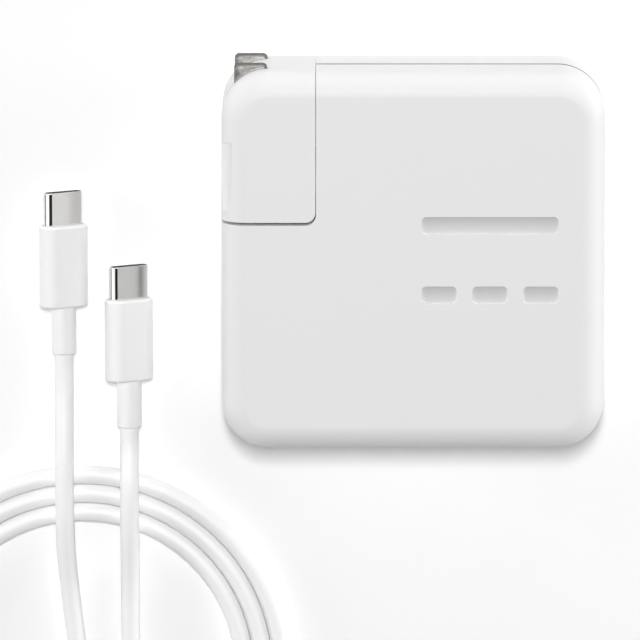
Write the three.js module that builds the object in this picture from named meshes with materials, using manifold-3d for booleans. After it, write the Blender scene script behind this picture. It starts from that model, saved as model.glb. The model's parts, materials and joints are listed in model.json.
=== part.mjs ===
// White folding-blade laptop power adapter with a slide-off plug module and a coiled charge lead.
// Millimetres, +Z up. The adapter lies on its rear face; the origin is the centre of that face.
// +Z leaves the front face, +Y leaves the side with the plug module, +X leaves the side with the socket.
import * as THREE from 'three';
import { mergeVertices } from 'three/addons/utils/BufferGeometryUtils.js';
import Module from 'manifold-3d';

// ---- Driving dimensions: case ----
const caseSize = 74;            // side of the square case
const caseDepth = 28.6;         // rear face to front face
const cornerRadius = 9;         // corners of the square, seen from the front
const edgeRadius = 4.8;         // rounding of the front and rear edges
const wall = 2;                 // case wall
const partingHeight = 15.5;     // parting line of the two shells, above the rear face
const clearance = 0.3;          // running and assembly clearance
const lipThickness = 1;         // locating lip of the rear shell
const lipHeight = 1.8;          // its reach past the parting line
const lipRoot = 3;              // and below it
const postRadius = 2;           // posts that carry the main board
const postSetback = 3;          // post to the board's edges
const symbolDepth = 0.35;       // depth of the direct-current symbol in the front face
const symbolLength = 26.4;
const symbolStroke = 3.4;
const symbolPitch = 13.6;       // bar to dashes
const dashShare = 0.256;        // one dash as a share of the bar
const symbolCentre = [14.8, 0.6];

// ---- Driving dimensions: plug module and its notch ----
const notchWidth = 18.2;
const notchRadius = 2.1;
const moduleWall = 1.8;
const scoopRadius = 4.5;        // finger scoop, across the rounded front edge
const scoopLength = 13.6;
const scoopDepth = 0.9;
const scoopAngle = 30;          // degrees round the edge, from the outer side to the scoop's middle
const scoopFromPivot = 8.6;     // pivot to the scoop's deep end
const bladeWidth = 6.35;
const bladeThickness = 1.5;
const bladeSpacing = 12.7;      // between the middles of the two blades
const bladeReach = 17.7;        // beyond the case when unfolded
const bladeTipStand = 1;        // beyond the case when folded
const bladeHole = 3.2;
const bladeHoleInset = 5.3;     // hole centre to tip
const bladeChamfer = 0.5;
const bladeRound = 0.3;
const slotClearance = 0.4;
const rotorRadius = 3.2;
const rotorEnd = 2.4;           // rotor beyond each blade
const journalRadius = 1.5;
const journalLength = 1.2;
const tangWidth = 3.4;          // blade root inside the rotor
const tangDepth = 2.5;
const shoulder = 3.5;           // full blade width starts here, from the pivot
const bladeInset = 2.4;         // folded blade's edge to the outer side of the case
const fingerLength = 0.5;       // contact finger beyond its strip
const fingerWidth = 4;
const fingerThickness = 1.2;
const stripHalf = 1.2;          // strip past the pin and the blade
const stripEnd = 1.6;           // and past the pin's middle, across
const sleeveInset = 0.6;        // sleeve below the boss's end
const pinSpacing = 8.6;
const pinRadius = 1.2;
const pinTail = 2.3;
const pinCollar = 0.6;
const pinTipInset = 1.4;        // pin tip below the notch floor
const bossLength = 7.8;
const sleeveWall = 0.6;
const bossWall = 0.9;
const cupWall = 1.2;
const cupFloor = 1.5;
const studHeight = 12;          // lock stud above the notch floor
const studHeadRadius = 3.4;
const studHeadThickness = 1.2;
const studStemRadius = 1.8;
const studStemLength = 2;
const studTailRadius = 1.2;
const plateHalfWidth = 5.5;     // steel plate behind the stud
const plateThickness = 1.2;
const studRivet = 1;            // stud's tail past the plate

// ---- Driving dimensions: output socket and boards ----
const portWidth = 8.34;
const portHeight = 2.56;
const portWall = 0.3;
const portDepth = 7;
const portRecess = 0.2;         // socket's rim inside the case's side
const tongueBase = 1.6;         // socket's back to the front of the tongue's base
const tongueWidth = 6.7;
const tongueThickness = 0.7;
const tongueLength = 5;
const boardThickness = 1.6;
const boardHeight = 6;          // underside of the main board, above the rear face
const boardMargin = 2;          // board edge to the inside of the case
const outputBoardThickness = 1;
const outputBoardLength = 28;
const spreaderThickness = 0.8;
const sheetThickness = 0.4;

// ---- Driving dimensions: parts on the main board ----
const partSpacing = 1;          // least space between neighbours
const bulkLength = 24;
const bulkNeck = 0.5;           // depth and width of the crimped groove
const bulkRim = 0.7;
const coreDepth = 18;
const coreLeg = 4.6;
const coreYoke = 5;
const corePostWidth = 6.4;
const windingOverhang = 2;      // core beyond the winding
const chokeRadius = 7.2;
const chokeBore = 3;
const chokeHeight = 9;
const filmSize = [13, 6, 12];
const fuseRadius = 2.6;
const fuseLength = 10;
const discRadius = 3.6;
const discThickness = 3.2;
const bridgeThickness = 3.6;
const bridgeHeight = 11;
const transistorSize = [10, 4.4, 13];
const heatPlateThickness = 1.2;
const heatPlateHeight = 14;
const chipSize = [6, 5, 1.5];
const couplerSize = [4.5, 6.5, 3.6];
const outputChokeRadius = 5;
const outputChokeHeight = 8;
const outputCanRadius = 4;
const outputCanHeight = 12;
const wireRadius = 0.7;
const wireTurn = 1.3;
const wireShift = 4;

// ---- Driving dimensions: charge lead ----
const cordDiameter = 3.7;
const coilPitch = 3.75;
const coilRadius = 30.65;       // innermost turn where the coil begins
const coilCentre = [-65.6, -86.1];
const coilStretch = 20;         // straight side of each turn
const coilTurnIn = 6;           // coil ends stop short of the straight side's end
const tieWidth = 7;
const tieThickness = 0.8;
const tieRound = 1.6;
const plugRoll = 28;            // degrees that the plugs lie rolled about their own axes
const plugShellWidth = 8.25;
const plugShellHeight = 2.4;
const plugShellWall = 0.3;
const plugShellLength = 6.5;
const plugShellRoot = 3;
const plugBodyWidth = 9.9;
const plugBodyHeight = 5.9;
const plugBodyLength = 16.2;
const plugBodyRound = 0.5;
const reliefRadius = 2.42;
const reliefLength = 9.5;
const reliefRoot = 2;
const insertPastBody = 0.8;

// ---- Solids ----
const wasm = await Module();
wasm.setup();

const group = new THREE.Group();
const far = 200;                // past everything, for cutting shapes

function solid(geometry) {
  geometry.deleteAttribute('normal');
  geometry.deleteAttribute('uv');
  const merged = mergeVertices(geometry, 1e-4);
  const vertProperties = new Float32Array(merged.attributes.position.array);
  const triVerts = new Uint32Array(merged.index.array);
  return new wasm.Manifold(new wasm.Mesh({ numProp: 3, vertProperties, triVerts }));
}

function geometryOf(body) {
  const mesh = body.getMesh();
  const geometry = new THREE.BufferGeometry();
  geometry.setAttribute('position', new THREE.BufferAttribute(new Float32Array(mesh.vertProperties), 3));
  geometry.setIndex(new THREE.BufferAttribute(new Uint32Array(mesh.triVerts), 1));
  return geometry;
}

function box(x, y, z) {
  const sizes = [x, y, z].map(([low, high]) => high - low);
  const geometry = new THREE.BoxGeometry(...sizes);
  geometry.translate((x[0] + x[1]) / 2, (y[0] + y[1]) / 2, (z[0] + z[1]) / 2);
  return solid(geometry);
}

// A cylinder along one axis, from one station on that axis to another.
function rod(axis, centre, radius, span, sides = 16) {
  const geometry = new THREE.CylinderGeometry(radius, radius, span[1] - span[0], sides);
  const middle = (span[0] + span[1]) / 2;
  if (axis === 'x') {
    geometry.rotateZ(-Math.PI / 2);
    geometry.translate(middle, centre[0], centre[1]);
  } else if (axis === 'y') {
    geometry.translate(centre[0], middle, centre[1]);
  } else {
    geometry.rotateX(Math.PI / 2);
    geometry.translate(centre[0], centre[1], middle);
  }
  return solid(geometry);
}

function roundedOutline(x, y, radius) {
  const shape = new THREE.Shape();
  const r = Math.max(radius, 0.05);
  shape.absarc(x[1] - r, y[1] - r, r, 0, Math.PI / 2);
  shape.absarc(x[0] + r, y[1] - r, r, Math.PI / 2, Math.PI);
  shape.absarc(x[0] + r, y[0] + r, r, Math.PI, 1.5 * Math.PI);
  shape.absarc(x[1] - r, y[0] + r, r, 1.5 * Math.PI, 2 * Math.PI);
  shape.closePath();
  return shape;
}

function stadiumOutline(width, height) {
  return roundedOutline([-width / 2, width / 2], [-height / 2, height / 2], Math.min(width, height) / 2);
}

// An outline in the XY plane, raised from z[0] to z[1], with rounded rims if round is given.
function slab(shape, z, round = 0, curveSegments = 3, bevelSegments = 4) {
  const geometry = new THREE.ExtrudeGeometry(shape, {
    depth: z[1] - z[0] - 2 * round,
    bevelEnabled: round > 0,
    bevelThickness: round,
    bevelSize: round,
    bevelOffset: -round,
    bevelSegments,
    curveSegments,
  });
  geometry.translate(0, 0, z[0] + round);
  return geometry;
}

// A slab raised along +X or +Y instead, its outline's own x axis along Y or X.
function slabAlong(axis, shape, span, centre, round = 0) {
  const geometry = slab(shape, span, round, 3, 2);
  if (axis === 'x') {
    geometry.rotateX(Math.PI / 2);
    geometry.rotateZ(Math.PI / 2);
    geometry.translate(0, centre[0], centre[1]);
  } else {
    geometry.rotateX(-Math.PI / 2);
    geometry.translate(centre[0], 0, centre[1]);
  }
  return solid(geometry);
}

function unite(first, ...others) {
  return others.reduce((body, other) => body.add(other), first);
}

function cut(first, ...others) {
  return others.reduce((body, other) => body.subtract(other), first);
}

function material(color, roughness, metalness = 0) {
  return () => new THREE.MeshStandardMaterial({ color, roughness, metalness });
}

const whitePlastic = material(0xe6e6e6, 0.42);
const nylon = material(0xd8d8d4, 0.5);
const blackPlastic = material(0x1d1d1f, 0.5);
const nickel = material(0xb9b9bb, 0.28, 1);
const steel = material(0x9c9ea1, 0.35, 1);
const brass = material(0xc9a860, 0.35, 1);
const copper = material(0xb8703e, 0.4, 1);
const aluminium = material(0xb4b7ba, 0.4, 1);
const boardGreen = material(0x1f5b3a, 0.55);
const ferrite = material(0x3a3b3d, 0.7);
const tape = material(0xd9c04a, 0.5);
const filmYellow = material(0xd8b23c, 0.5);
const discBlue = material(0x2d67a8, 0.45);
const cordWhite = material(0xeeeeee, 0.5);

function place(name, body, makeMaterial, parent = group) {
  const geometry = body.isBufferGeometry ? body : geometryOf(body);
  const mesh = new THREE.Mesh(geometry, makeMaterial());
  mesh.name = name;
  parent.add(mesh);
  return mesh;
}

// ---- Derived places ----
const half = caseSize / 2;
const middleZ = caseDepth / 2;
const notchSide = notchWidth - half;
const moduleSide = notchSide - clearance;
const inletX = (notchSide - half) / 2;
const pivotX = -half + bladeInset + bladeWidth / 2;
// A blade is as long as its reach from the case's outer side to its tip, plus the way to the pivot.
const bladeLength = bladeReach + half + pivotX;
const pivotY = half + bladeTipStand - bladeLength;
// Below the rotor come the contact fingers, their strips, the module's wall and the notch floor.
const carrierInset = moduleWall + clearance;
const fingerTop = pivotY - rotorRadius - clearance;
const sleeveEnd = fingerTop - fingerLength;
const sleeveFloor = sleeveEnd - sleeveWall;
const moduleFloor = sleeveFloor - clearance - carrierInset;
const notchFloor = moduleFloor - clearance;
const nearBladeZ = middleZ + bladeSpacing / 2;
const farBladeZ = middleZ - bladeSpacing / 2;
const bladeHeights = { near: nearBladeZ, far: farBladeZ };
const pinHeights = { near: middleZ + pinSpacing / 2, far: middleZ - pinSpacing / 2 };
const sleeveBore = pinRadius + clearance;
const sleeveRadius = sleeveBore + sleeveWall;
const bossHalfWidth = sleeveRadius + clearance + bossWall;
const bossSize = [2 * bossHalfWidth, pinSpacing + 2 * bossHalfWidth];
const bossEnd = moduleFloor - bossLength;
const cupFloorTop = bossEnd - clearance;
const cupEnd = cupFloorTop - cupFloor;
const boardTop = boardHeight + boardThickness;
const seat = boardTop + clearance;
const ceiling = caseDepth - wall - spreaderThickness - sheetThickness - 3 * clearance;

function caseBlock(inset, curveSegments = 4, bevelSegments = 5) {
  const span = [inset - half, half - inset];
  const outline = roundedOutline(span, span, cornerRadius - inset);
  const round = Math.max(edgeRadius - inset, 0.4);
  return solid(slab(outline, [inset, caseDepth - inset], round, curveSegments, bevelSegments));
}

// The corner that the plug module fills, grown outwards by an offset.
function cornerRegion(grow, z = [-far, far]) {
  const shape = new THREE.Shape();
  const right = notchSide + grow;
  const floor = notchFloor - grow;
  const r = notchRadius + grow;
  shape.moveTo(-far, floor);
  shape.lineTo(right - r, floor);
  shape.absarc(right - r, floor + r, r, -Math.PI / 2, 0);
  shape.lineTo(right, far);
  shape.lineTo(-far, far);
  shape.closePath();
  return solid(slab(shape, z, 0, 4));
}

function below(z) {
  return box([-far, far], [-far, far], [-far, z]);
}

function above(z) {
  return box([-far, far], [-far, far], [z, far]);
}

// ---- Case shells ----
const cupOuter = stadiumOutline(
  bossSize[0] + 2 * (clearance + cupWall),
  bossSize[1] + 2 * (clearance + cupWall),
);
const cupHole = stadiumOutline(
  bossSize[0] + 2 * (2 * clearance + cupWall),
  bossSize[1] + 2 * (2 * clearance + cupWall),
);
const studY = notchFloor + studHeight;
const portOuter = stadiumOutline(portWidth + 2 * portWall, portHeight + 2 * portWall);
const portHole = stadiumOutline(
  portWidth + 2 * (portWall + clearance),
  portHeight + 2 * (portWall + clearance),
);

const openings = [
  slabAlong('y', cupHole, [notchFloor - 4 * wall, notchFloor + 1], [inletX, middleZ]),
  rod('x', [studY, middleZ], studTailRadius + clearance, [notchSide - 1, notchSide + 4 * wall]),
  slabAlong('x', portHole, [half - 4 * wall, half + 1], [0, partingHeight]),
];
const hollow = cut(caseBlock(wall, 3, 3), cornerRegion(wall));
const caseSolid = cut(caseBlock(0), cornerRegion(0), hollow, ...openings);

const symbolTop = symbolCentre[1] + symbolPitch / 2;
const dashLength = symbolLength * dashShare;
const dashStep = (symbolLength - dashLength) / 2;
const strokes = [[symbolCentre[0], symbolTop, symbolLength]];
for (const step of [-1, 0, 1]) {
  strokes.push([symbolCentre[0] + step * dashStep, symbolTop - symbolPitch, dashLength]);
}

function strokeCutter([x, y, length]) {
  const outline = roundedOutline(
    [x - length / 2, x + length / 2],
    [y - symbolStroke / 2, y + symbolStroke / 2],
    symbolStroke / 4,
  );
  return solid(slab(outline, [caseDepth - symbolDepth, caseDepth + 1], 0, 2));
}

const seamHalf = clearance / 2;
const frontShell = cut(caseSolid, below(partingHeight + seamHalf), ...strokes.map(strokeCutter));
place('front_shell', frontShell, whitePlastic);

// The rear shell's lip stands inside the front shell and hides the parting gap.
function lipRing(outerInset, top) {
  const bottom = partingHeight - lipRoot;
  const span = [outerInset - half, half - outerInset];
  const outline = roundedOutline(span, span, cornerRadius - outerInset);
  const innerInset = wall + clearance + lipThickness;
  const innerSpan = [innerInset - half, half - innerInset];
  const inner = roundedOutline(innerSpan, innerSpan, cornerRadius - innerInset);
  const ring = cut(
    cut(solid(slab(outline, [bottom, top])), cornerRegion(outerInset)),
    cut(solid(slab(inner, [bottom - 1, top + 1])), cornerRegion(innerInset)),
  );
  // The stud's plate lies flat against the inside of the wall, so the lip stops either side of it.
  const plateGap = box(
    [notchSide + wall, notchSide + 4 * wall],
    [studY - plateHalfWidth - clearance, studY + plateHalfWidth + clearance],
    [-far, far],
  );
  return cut(ring, plateGap, ...openings);
}

const postInset = wall + boardMargin + postRadius + postSetback;
const postPlaces = [
  [half - postInset, half - postInset],
  [half - postInset, postInset - half],
  [postInset - half, postInset - half],
];
const postSpan = [wall / 2, boardHeight - clearance];
const posts = postPlaces.map((centre) => rod('z', centre, postRadius, postSpan, 12));
const rearShell = unite(
  cut(caseSolid, above(partingHeight - seamHalf)),
  lipRing(wall / 2, partingHeight - seamHalf),
  lipRing(wall + clearance, partingHeight + lipHeight),
  ...posts,
);
place('rear_shell', rearShell, whitePlastic);

// ---- Heat spreaders and insulating sheets ----
function layer(inset, z, clearOfPosts) {
  const span = [inset - half, half - inset];
  const outline = roundedOutline(span, span, cornerRadius - wall);
  const plate = cut(solid(slab(outline, z, 0, 2)), cornerRegion(wall + clearance));
  if (!clearOfPosts) {
    return plate;
  }
  const through = [z[0] - 1, z[1] + 1];
  return cut(plate, ...postPlaces.map((centre) => rod('z', centre, postRadius + clearance, through, 12)));
}

const layerInset = edgeRadius + clearance;
const rearPlate = [wall + clearance, wall + clearance + spreaderThickness];
const rearSheet = [rearPlate[1] + clearance, rearPlate[1] + clearance + sheetThickness];
const frontPlate = [caseDepth - wall - clearance - spreaderThickness, caseDepth - wall - clearance];
const frontSheet = [frontPlate[0] - clearance - sheetThickness, frontPlate[0] - clearance];
place('rear_heat_spreader', layer(layerInset, rearPlate, true), aluminium);
place('rear_insulating_sheet', layer(layerInset, rearSheet, true), blackPlastic);
place('front_heat_spreader', layer(layerInset, frontPlate, false), aluminium);
place('front_insulating_sheet', layer(layerInset, frontSheet, false), blackPlastic);

// ---- Inlet in the notch floor ----
const cup = cut(
  slabAlong('y', cupOuter, [cupEnd, notchFloor], [inletX, middleZ]),
  slabAlong(
    'y',
    stadiumOutline(bossSize[0] + 2 * clearance, bossSize[1] + 2 * clearance),
    [cupFloorTop, notchFloor + 1],
    [inletX, middleZ],
  ),
  ...Object.values(pinHeights).map((z) =>
    rod('y', [inletX, z], pinRadius + clearance, [cupEnd - 1, cupFloorTop + 1])),
);
place('inlet_housing', cup, blackPlastic);

for (const [side, z] of Object.entries(pinHeights)) {
  const pin = unite(
    rod('y', [inletX, z], pinRadius, [cupEnd - pinTail, notchFloor - pinTipInset]),
    rod('y', [inletX, z], pinRadius + 2 * clearance, [cupEnd - clearance - pinCollar, cupEnd - clearance]),
  );
  place(`inlet_pin_${side}`, pin, nickel);
}

// Two short wires take the pins' tails down to the board.
const wireStartY = cupEnd - pinTail - clearance;
const wireDropY = wireStartY - wireTurn;
const wires = {
  near: { shift: wireShift, finish: material(0x6b4a2f, 0.5) },
  far: { shift: -wireShift, finish: material(0x2f5fa8, 0.5) },
};
for (const [side, z] of Object.entries(pinHeights)) {
  const x = inletX + wires[side].shift;
  const path = new THREE.CatmullRomCurve3([
    new THREE.Vector3(inletX, wireStartY, z),
    new THREE.Vector3(inletX, wireStartY - wireTurn / 4, z),
    new THREE.Vector3((inletX + x) / 2, wireDropY, z - wireTurn / 4),
    new THREE.Vector3(x, wireDropY, seat + wireRadius),
    new THREE.Vector3(x, wireDropY, seat),
  ]);
  const section = new THREE.Shape().absarc(0, 0, wireRadius, 0, 2 * Math.PI);
  const wire = new THREE.ExtrudeGeometry(section, {
    steps: 8, bevelEnabled: false, extrudePath: path, curveSegments: 3,
  });
  place(`inlet_wire_${side}`, solid(wire), wires[side].finish);
}

// ---- Lock stud on the notch side ----
const studHeadX = [notchSide - studStemLength - studHeadThickness, notchSide - studStemLength];
const plateX = notchSide + wall + clearance;
const studEnd = plateX + plateThickness + studRivet;
const stud = unite(
  rod('x', [studY, middleZ], studHeadRadius, studHeadX, 24),
  rod('x', [studY, middleZ], studStemRadius, [studHeadX[1], notchSide - clearance], 16),
  rod('x', [studY, middleZ], studTailRadius, [notchSide - clearance, studEnd], 12),
);
place('lock_stud', stud, nickel);
const studPlate = cut(
  box(
    [plateX, plateX + plateThickness],
    [studY - plateHalfWidth, studY + plateHalfWidth],
    [middleZ - plateHalfWidth, middleZ + plateHalfWidth],
  ),
  rod('x', [studY, middleZ], studTailRadius + clearance, [plateX - 1, plateX + plateThickness + 1], 12),
);
place('stud_plate', studPlate, steel);

// ---- Output socket ----
const portEnd = half - portRecess;
const portBack = portEnd - portDepth;
const portShell = cut(
  slabAlong('x', portOuter, [portBack, portEnd], [0, partingHeight]),
  slabAlong('x', stadiumOutline(portWidth, portHeight), [portBack + portWall, half + 1], [0, partingHeight]),
);
place('socket_shell', portShell, nickel);
const tongue = unite(
  box(
    [portBack + 1, portBack + 1 + tongueLength],
    [-tongueWidth / 2, tongueWidth / 2],
    [partingHeight - tongueThickness / 2, partingHeight + tongueThickness / 2],
  ),
  slabAlong(
    'x',
    stadiumOutline(portWidth - 2 * clearance, portHeight - 2 * clearance),
    [portBack + portWall + clearance, portBack + tongueBase],
    [0, partingHeight],
  ),
);
place('socket_tongue', tongue, blackPlastic);

// ---- Boards ----
const boardEdge = half - wall - boardMargin;
const boardOutline = roundedOutline([-boardEdge, boardEdge], [-boardEdge, boardEdge], cornerRadius - wall);
const boardCutX = notchSide + wall + boardMargin;
const boardCut = box([-far, boardCutX], [cupEnd - partSpacing, far], [-far, far]);
const mainBoard = cut(solid(slab(boardOutline, [boardHeight, boardTop], 0, 2)), boardCut);
place('main_board', mainBoard, boardGreen);

const outputBoardEnd = portBack - clearance;
const outputBoardX = [outputBoardEnd - outputBoardThickness, outputBoardEnd];
const outputBoardY = [-outputBoardLength / 2, outputBoardLength / 2];
place('output_board', box(outputBoardX, outputBoardY, [seat, ceiling]), boardGreen);

// ---- Power parts on the main board ----
function standing(centre, size) {
  return box(
    [centre[0] - size[0] / 2, centre[0] + size[0] / 2],
    [centre[1] - size[1] / 2, centre[1] + size[1] / 2],
    [seat, seat + size[2]],
  );
}

// A capacitor can lying along X, with the groove that holds its seal.
function lyingCan(radius, x, y) {
  const centre = [y, seat + radius];
  const groove = [x[0] + bulkRim, x[0] + bulkRim + bulkNeck];
  return unite(
    rod('x', centre, radius, [groove[1], x[1]], 24),
    rod('x', centre, radius - bulkNeck, [groove[0] - bulkRim / 2, groove[1] + bulkNeck], 24),
    rod('x', centre, radius, [x[0], groove[0]], 24),
  );
}

// Two bulk capacitors fill the space between the board's edge and the inlet wires.
const bulkTop = wireDropY - wireRadius - clearance;
const bulkRadius = Math.min((bulkTop + boardEdge - clearance) / 4, (ceiling - seat - clearance) / 2);
const bulkStart = cornerRadius - half - partSpacing;
const bulkX = [bulkStart, bulkStart + bulkLength];
const bulkY = [bulkRadius - boardEdge, bulkTop - bulkRadius];
place('bulk_capacitor_1', lyingCan(bulkRadius, bulkX, bulkY[0]), material(0x23303f, 0.4));
place('bulk_capacitor_2', lyingCan(bulkRadius, bulkX, bulkY[1]), material(0x23303f, 0.4));

// Left column above the capacitors: line choke, film capacitor, fuse.
const bayTop = boardEdge - partSpacing;
const bayLeft = boardCutX + partSpacing;
const bayRight = outputBoardX[0] - partSpacing;
const columnX = bayLeft + chokeRadius;
const columnParts = 2 * chokeRadius + filmSize[1] + 2 * fuseRadius;
const columnGap = (bayTop - bulkTop - partSpacing - columnParts) / 2;
const chokeCentre = [columnX, bayTop - chokeRadius];
const choke = cut(
  rod('z', chokeCentre, chokeRadius, [seat, seat + chokeHeight], 20),
  rod('z', chokeCentre, chokeBore, [seat - 1, seat + chokeHeight + 1], 16),
);
place('line_choke', choke, copper);
const filmY = chokeCentre[1] - chokeRadius - columnGap - filmSize[1] / 2;
place('x_capacitor', standing([columnX, filmY], filmSize), filmYellow);
const fuseY = filmY - filmSize[1] / 2 - columnGap - fuseRadius;
const fuseSpan = [columnX - fuseLength / 2, columnX + fuseLength / 2];
place('fuse', rod('x', [fuseY, seat + fuseRadius], fuseRadius, fuseSpan, 16), material(0xc9ccd0, 0.2));

// Right column, in rows from the top down with equal gaps.
const rightX = [columnX + chokeRadius + partSpacing, bayRight];
const rightMiddle = (rightX[0] + rightX[1]) / 2;
const switchingDepth = 2 * (transistorSize[1] + clearance) + heatPlateThickness;
const rowDepths = [coreDepth, bridgeThickness, switchingDepth, 2 * outputCanRadius, 2 * outputChokeRadius];
const rowGap = (2 * bayTop - rowDepths.reduce((sum, depth) => sum + depth, 0)) / (rowDepths.length - 1);
const rowCentres = [];
let rowTop = bayTop;
for (const depth of rowDepths) {
  rowCentres.push(rowTop - depth / 2);
  rowTop -= depth + rowGap;
}
const [coreRow, bridgeRow, switchingRow, canRow, chokeRow] = rowCentres;

const coreY = [coreRow - coreDepth / 2, coreRow + coreDepth / 2];
const postX = [rightMiddle - corePostWidth / 2, rightMiddle + corePostWidth / 2];
const postZ = [seat + coreYoke, ceiling - coreYoke];
const core = unite(
  box(rightX, [coreY[0], coreY[0] + coreLeg], [seat, ceiling]),
  box(rightX, [coreY[1] - coreLeg, coreY[1]], [seat, ceiling]),
  box(postX, coreY, postZ),
);
place('transformer_core', core, ferrite);
const winding = cut(
  box(
    [rightX[0] + windingOverhang, rightX[1] - windingOverhang],
    [coreY[0] + coreLeg + clearance, coreY[1] - coreLeg - clearance],
    [seat, ceiling - clearance],
  ),
  box(
    [postX[0] - clearance, postX[1] + clearance],
    coreY,
    [postZ[0] - clearance, postZ[1] + clearance],
  ),
);
place('transformer_winding', winding, tape);

const bridgeWidth = rightX[1] - rightX[0] - 2 * discRadius - 3 * partSpacing;
place(
  'bridge_rectifier',
  standing([rightX[1] - bridgeWidth / 2, bridgeRow], [bridgeWidth, bridgeThickness, bridgeHeight]),
  blackPlastic,
);
const discCentre = [rightX[0] + discRadius, seat + discRadius];
const discSpan = [bridgeRow - discThickness / 2, bridgeRow + discThickness / 2];
place('y_capacitor', rod('y', discCentre, discRadius, discSpan, 16), discBlue);

place(
  'heat_plate',
  standing([rightMiddle, switchingRow], [rightX[1] - rightX[0], heatPlateThickness, heatPlateHeight]),
  aluminium,
);
const transistorOffset = (heatPlateThickness + transistorSize[1]) / 2 + clearance;
const transistorX = [rightX[0] + transistorSize[0] / 2, rightX[1] - transistorSize[0] / 2];
const transistorPlace = [transistorX[0], switchingRow + transistorOffset];
const rectifierPlace = [transistorX[1], switchingRow - transistorOffset];
place('power_transistor', standing(transistorPlace, transistorSize), blackPlastic);
place('output_rectifier', standing(rectifierPlace, transistorSize), blackPlastic);

const canX = [rightX[0] + outputCanRadius, rightX[1] - outputCanRadius];
const canSpan = [seat, seat + outputCanHeight];
place('output_capacitor_1', rod('z', [canX[0], canRow], outputCanRadius, canSpan, 20), aluminium);
place('output_capacitor_2', rod('z', [canX[1], canRow], outputCanRadius, canSpan, 20), aluminium);
const outputChokeCentre = [rightX[1] - outputChokeRadius, chokeRow];
place(
  'output_choke',
  rod('z', outputChokeCentre, outputChokeRadius, [seat, seat + outputChokeHeight], 20),
  copper,
);
place('control_chip', standing([rightX[0] + chipSize[0] / 2, chokeRow], chipSize), blackPlastic);
const couplerX = bulkX[1] + partSpacing + couplerSize[0] / 2;
place('optocoupler', standing([couplerX, chokeRow], couplerSize), blackPlastic);

// ---- Plug module: housing, carrier, contacts ----
const slotHalf = bladeThickness / 2 + slotClearance;
const sweepHalf = bladeWidth / 2 + slotClearance;

// The space that a blade sweeps from folded (+Y) to unfolded (-X), open at the side and the top.
function bladeSlot(z) {
  const shape = new THREE.Shape();
  shape.moveTo(-far, pivotY - sweepHalf);
  shape.lineTo(pivotX, pivotY - sweepHalf);
  shape.absarc(pivotX, pivotY, sweepHalf, -Math.PI / 2, 0);
  shape.lineTo(pivotX + sweepHalf, far);
  shape.lineTo(-far, far);
  shape.closePath();
  return solid(slab(shape, [z - slotHalf, z + slotHalf], 0, 3));
}

const slots = Object.values(bladeHeights).map(bladeSlot);
const bossRegion = stadiumOutline(bossSize[0], bossSize[1]);
const bossHole = stadiumOutline(bossSize[0] + 2 * clearance, bossSize[1] + 2 * clearance);

// The lock stud passes up this T-shaped slot as the module slides on.
const neckHalf = studStemRadius + clearance;
const headHalf = studHeadRadius + clearance;
const lockEndY = studY + headHalf;
const lockSlot = unite(
  box(
    [studHeadX[1] - clearance, notchSide + 1],
    [notchFloor - 1, studY],
    [middleZ - neckHalf, middleZ + neckHalf],
  ),
  rod('x', [studY, middleZ], neckHalf, [studHeadX[1] - clearance, notchSide + 1], 16),
  box(
    [studHeadX[0] - clearance, studHeadX[1] + clearance],
    [notchFloor - 1, studY],
    [middleZ - headHalf, middleZ + headHalf],
  ),
  rod('x', [studY, middleZ], headHalf, [studHeadX[0] - clearance, studHeadX[1] + clearance], 24),
);

// A finger scoop on the outer front edge of the module: deep at its upper end, running out below.
const scoopOffset = edgeRadius - scoopDepth + scoopRadius;
const scoopTurn = THREE.MathUtils.degToRad(scoopAngle);
const scoopEnd = pivotY + scoopFromPivot;
const ellipsoid = new THREE.SphereGeometry(1, 20, 12);
ellipsoid.scale(scoopRadius, scoopLength, scoopRadius);
ellipsoid.translate(
  edgeRadius - half - scoopOffset * Math.cos(scoopTurn),
  scoopEnd,
  caseDepth - edgeRadius + scoopOffset * Math.sin(scoopTurn),
);
const scoop = cut(solid(ellipsoid), box([-far, far], [scoopEnd, far], [-far, far]));

const moduleCavity = cut(
  caseBlock(moduleWall, 3, 3),
  box([-far, far], [-far, moduleFloor + moduleWall], [-far, far]),
);
const housing = cut(
  caseBlock(0).intersect(cornerRegion(-clearance)),
  moduleCavity,
  ...slots,
  slabAlong('y', bossHole, [moduleFloor - 1, moduleFloor + moduleWall + 1], [inletX, middleZ]),
  lockSlot,
  scoop,
);
place('plug_housing', housing, whitePlastic);

const rotorSpan = [farBladeZ - rotorEnd, nearBladeZ + rotorEnd];
const journalSpan = [rotorSpan[0] - journalLength, rotorSpan[1] + journalLength];

// A pivot pocket that is open to the outer side, so the rotor drops in before the housing goes on.
function pivotPocket(radius, z) {
  return unite(
    rod('z', [pivotX, pivotY], radius, z, 20),
    box([-far, pivotX], [pivotY - radius, pivotY + radius], z),
  );
}

const sleeveStart = bossEnd + sleeveInset;

// One contact: a sleeve on the inlet pin, a cross strip and a finger that wipes the rotor at its blade.
function contactParts(side, grow) {
  const z = pinHeights[side];
  const strip = [
    Math.min(z, bladeHeights[side]) - stripHalf,
    Math.max(z, bladeHeights[side]) + stripHalf,
  ];
  return [
    rod('y', [inletX, z], sleeveRadius + grow, [sleeveStart - grow, sleeveEnd + grow], 20),
    box(
      [pivotX - fingerWidth / 2 - grow, inletX + stripEnd + grow],
      [sleeveFloor - grow, sleeveEnd + grow],
      [strip[0] - grow, strip[1] + grow],
    ),
    box(
      [pivotX - fingerWidth / 2 - grow, pivotX + fingerWidth / 2 + grow],
      [sleeveFloor - grow, fingerTop + grow],
      [bladeHeights[side] - fingerThickness / 2 - grow, bladeHeights[side] + fingerThickness / 2 + grow],
    ),
  ];
}

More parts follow.
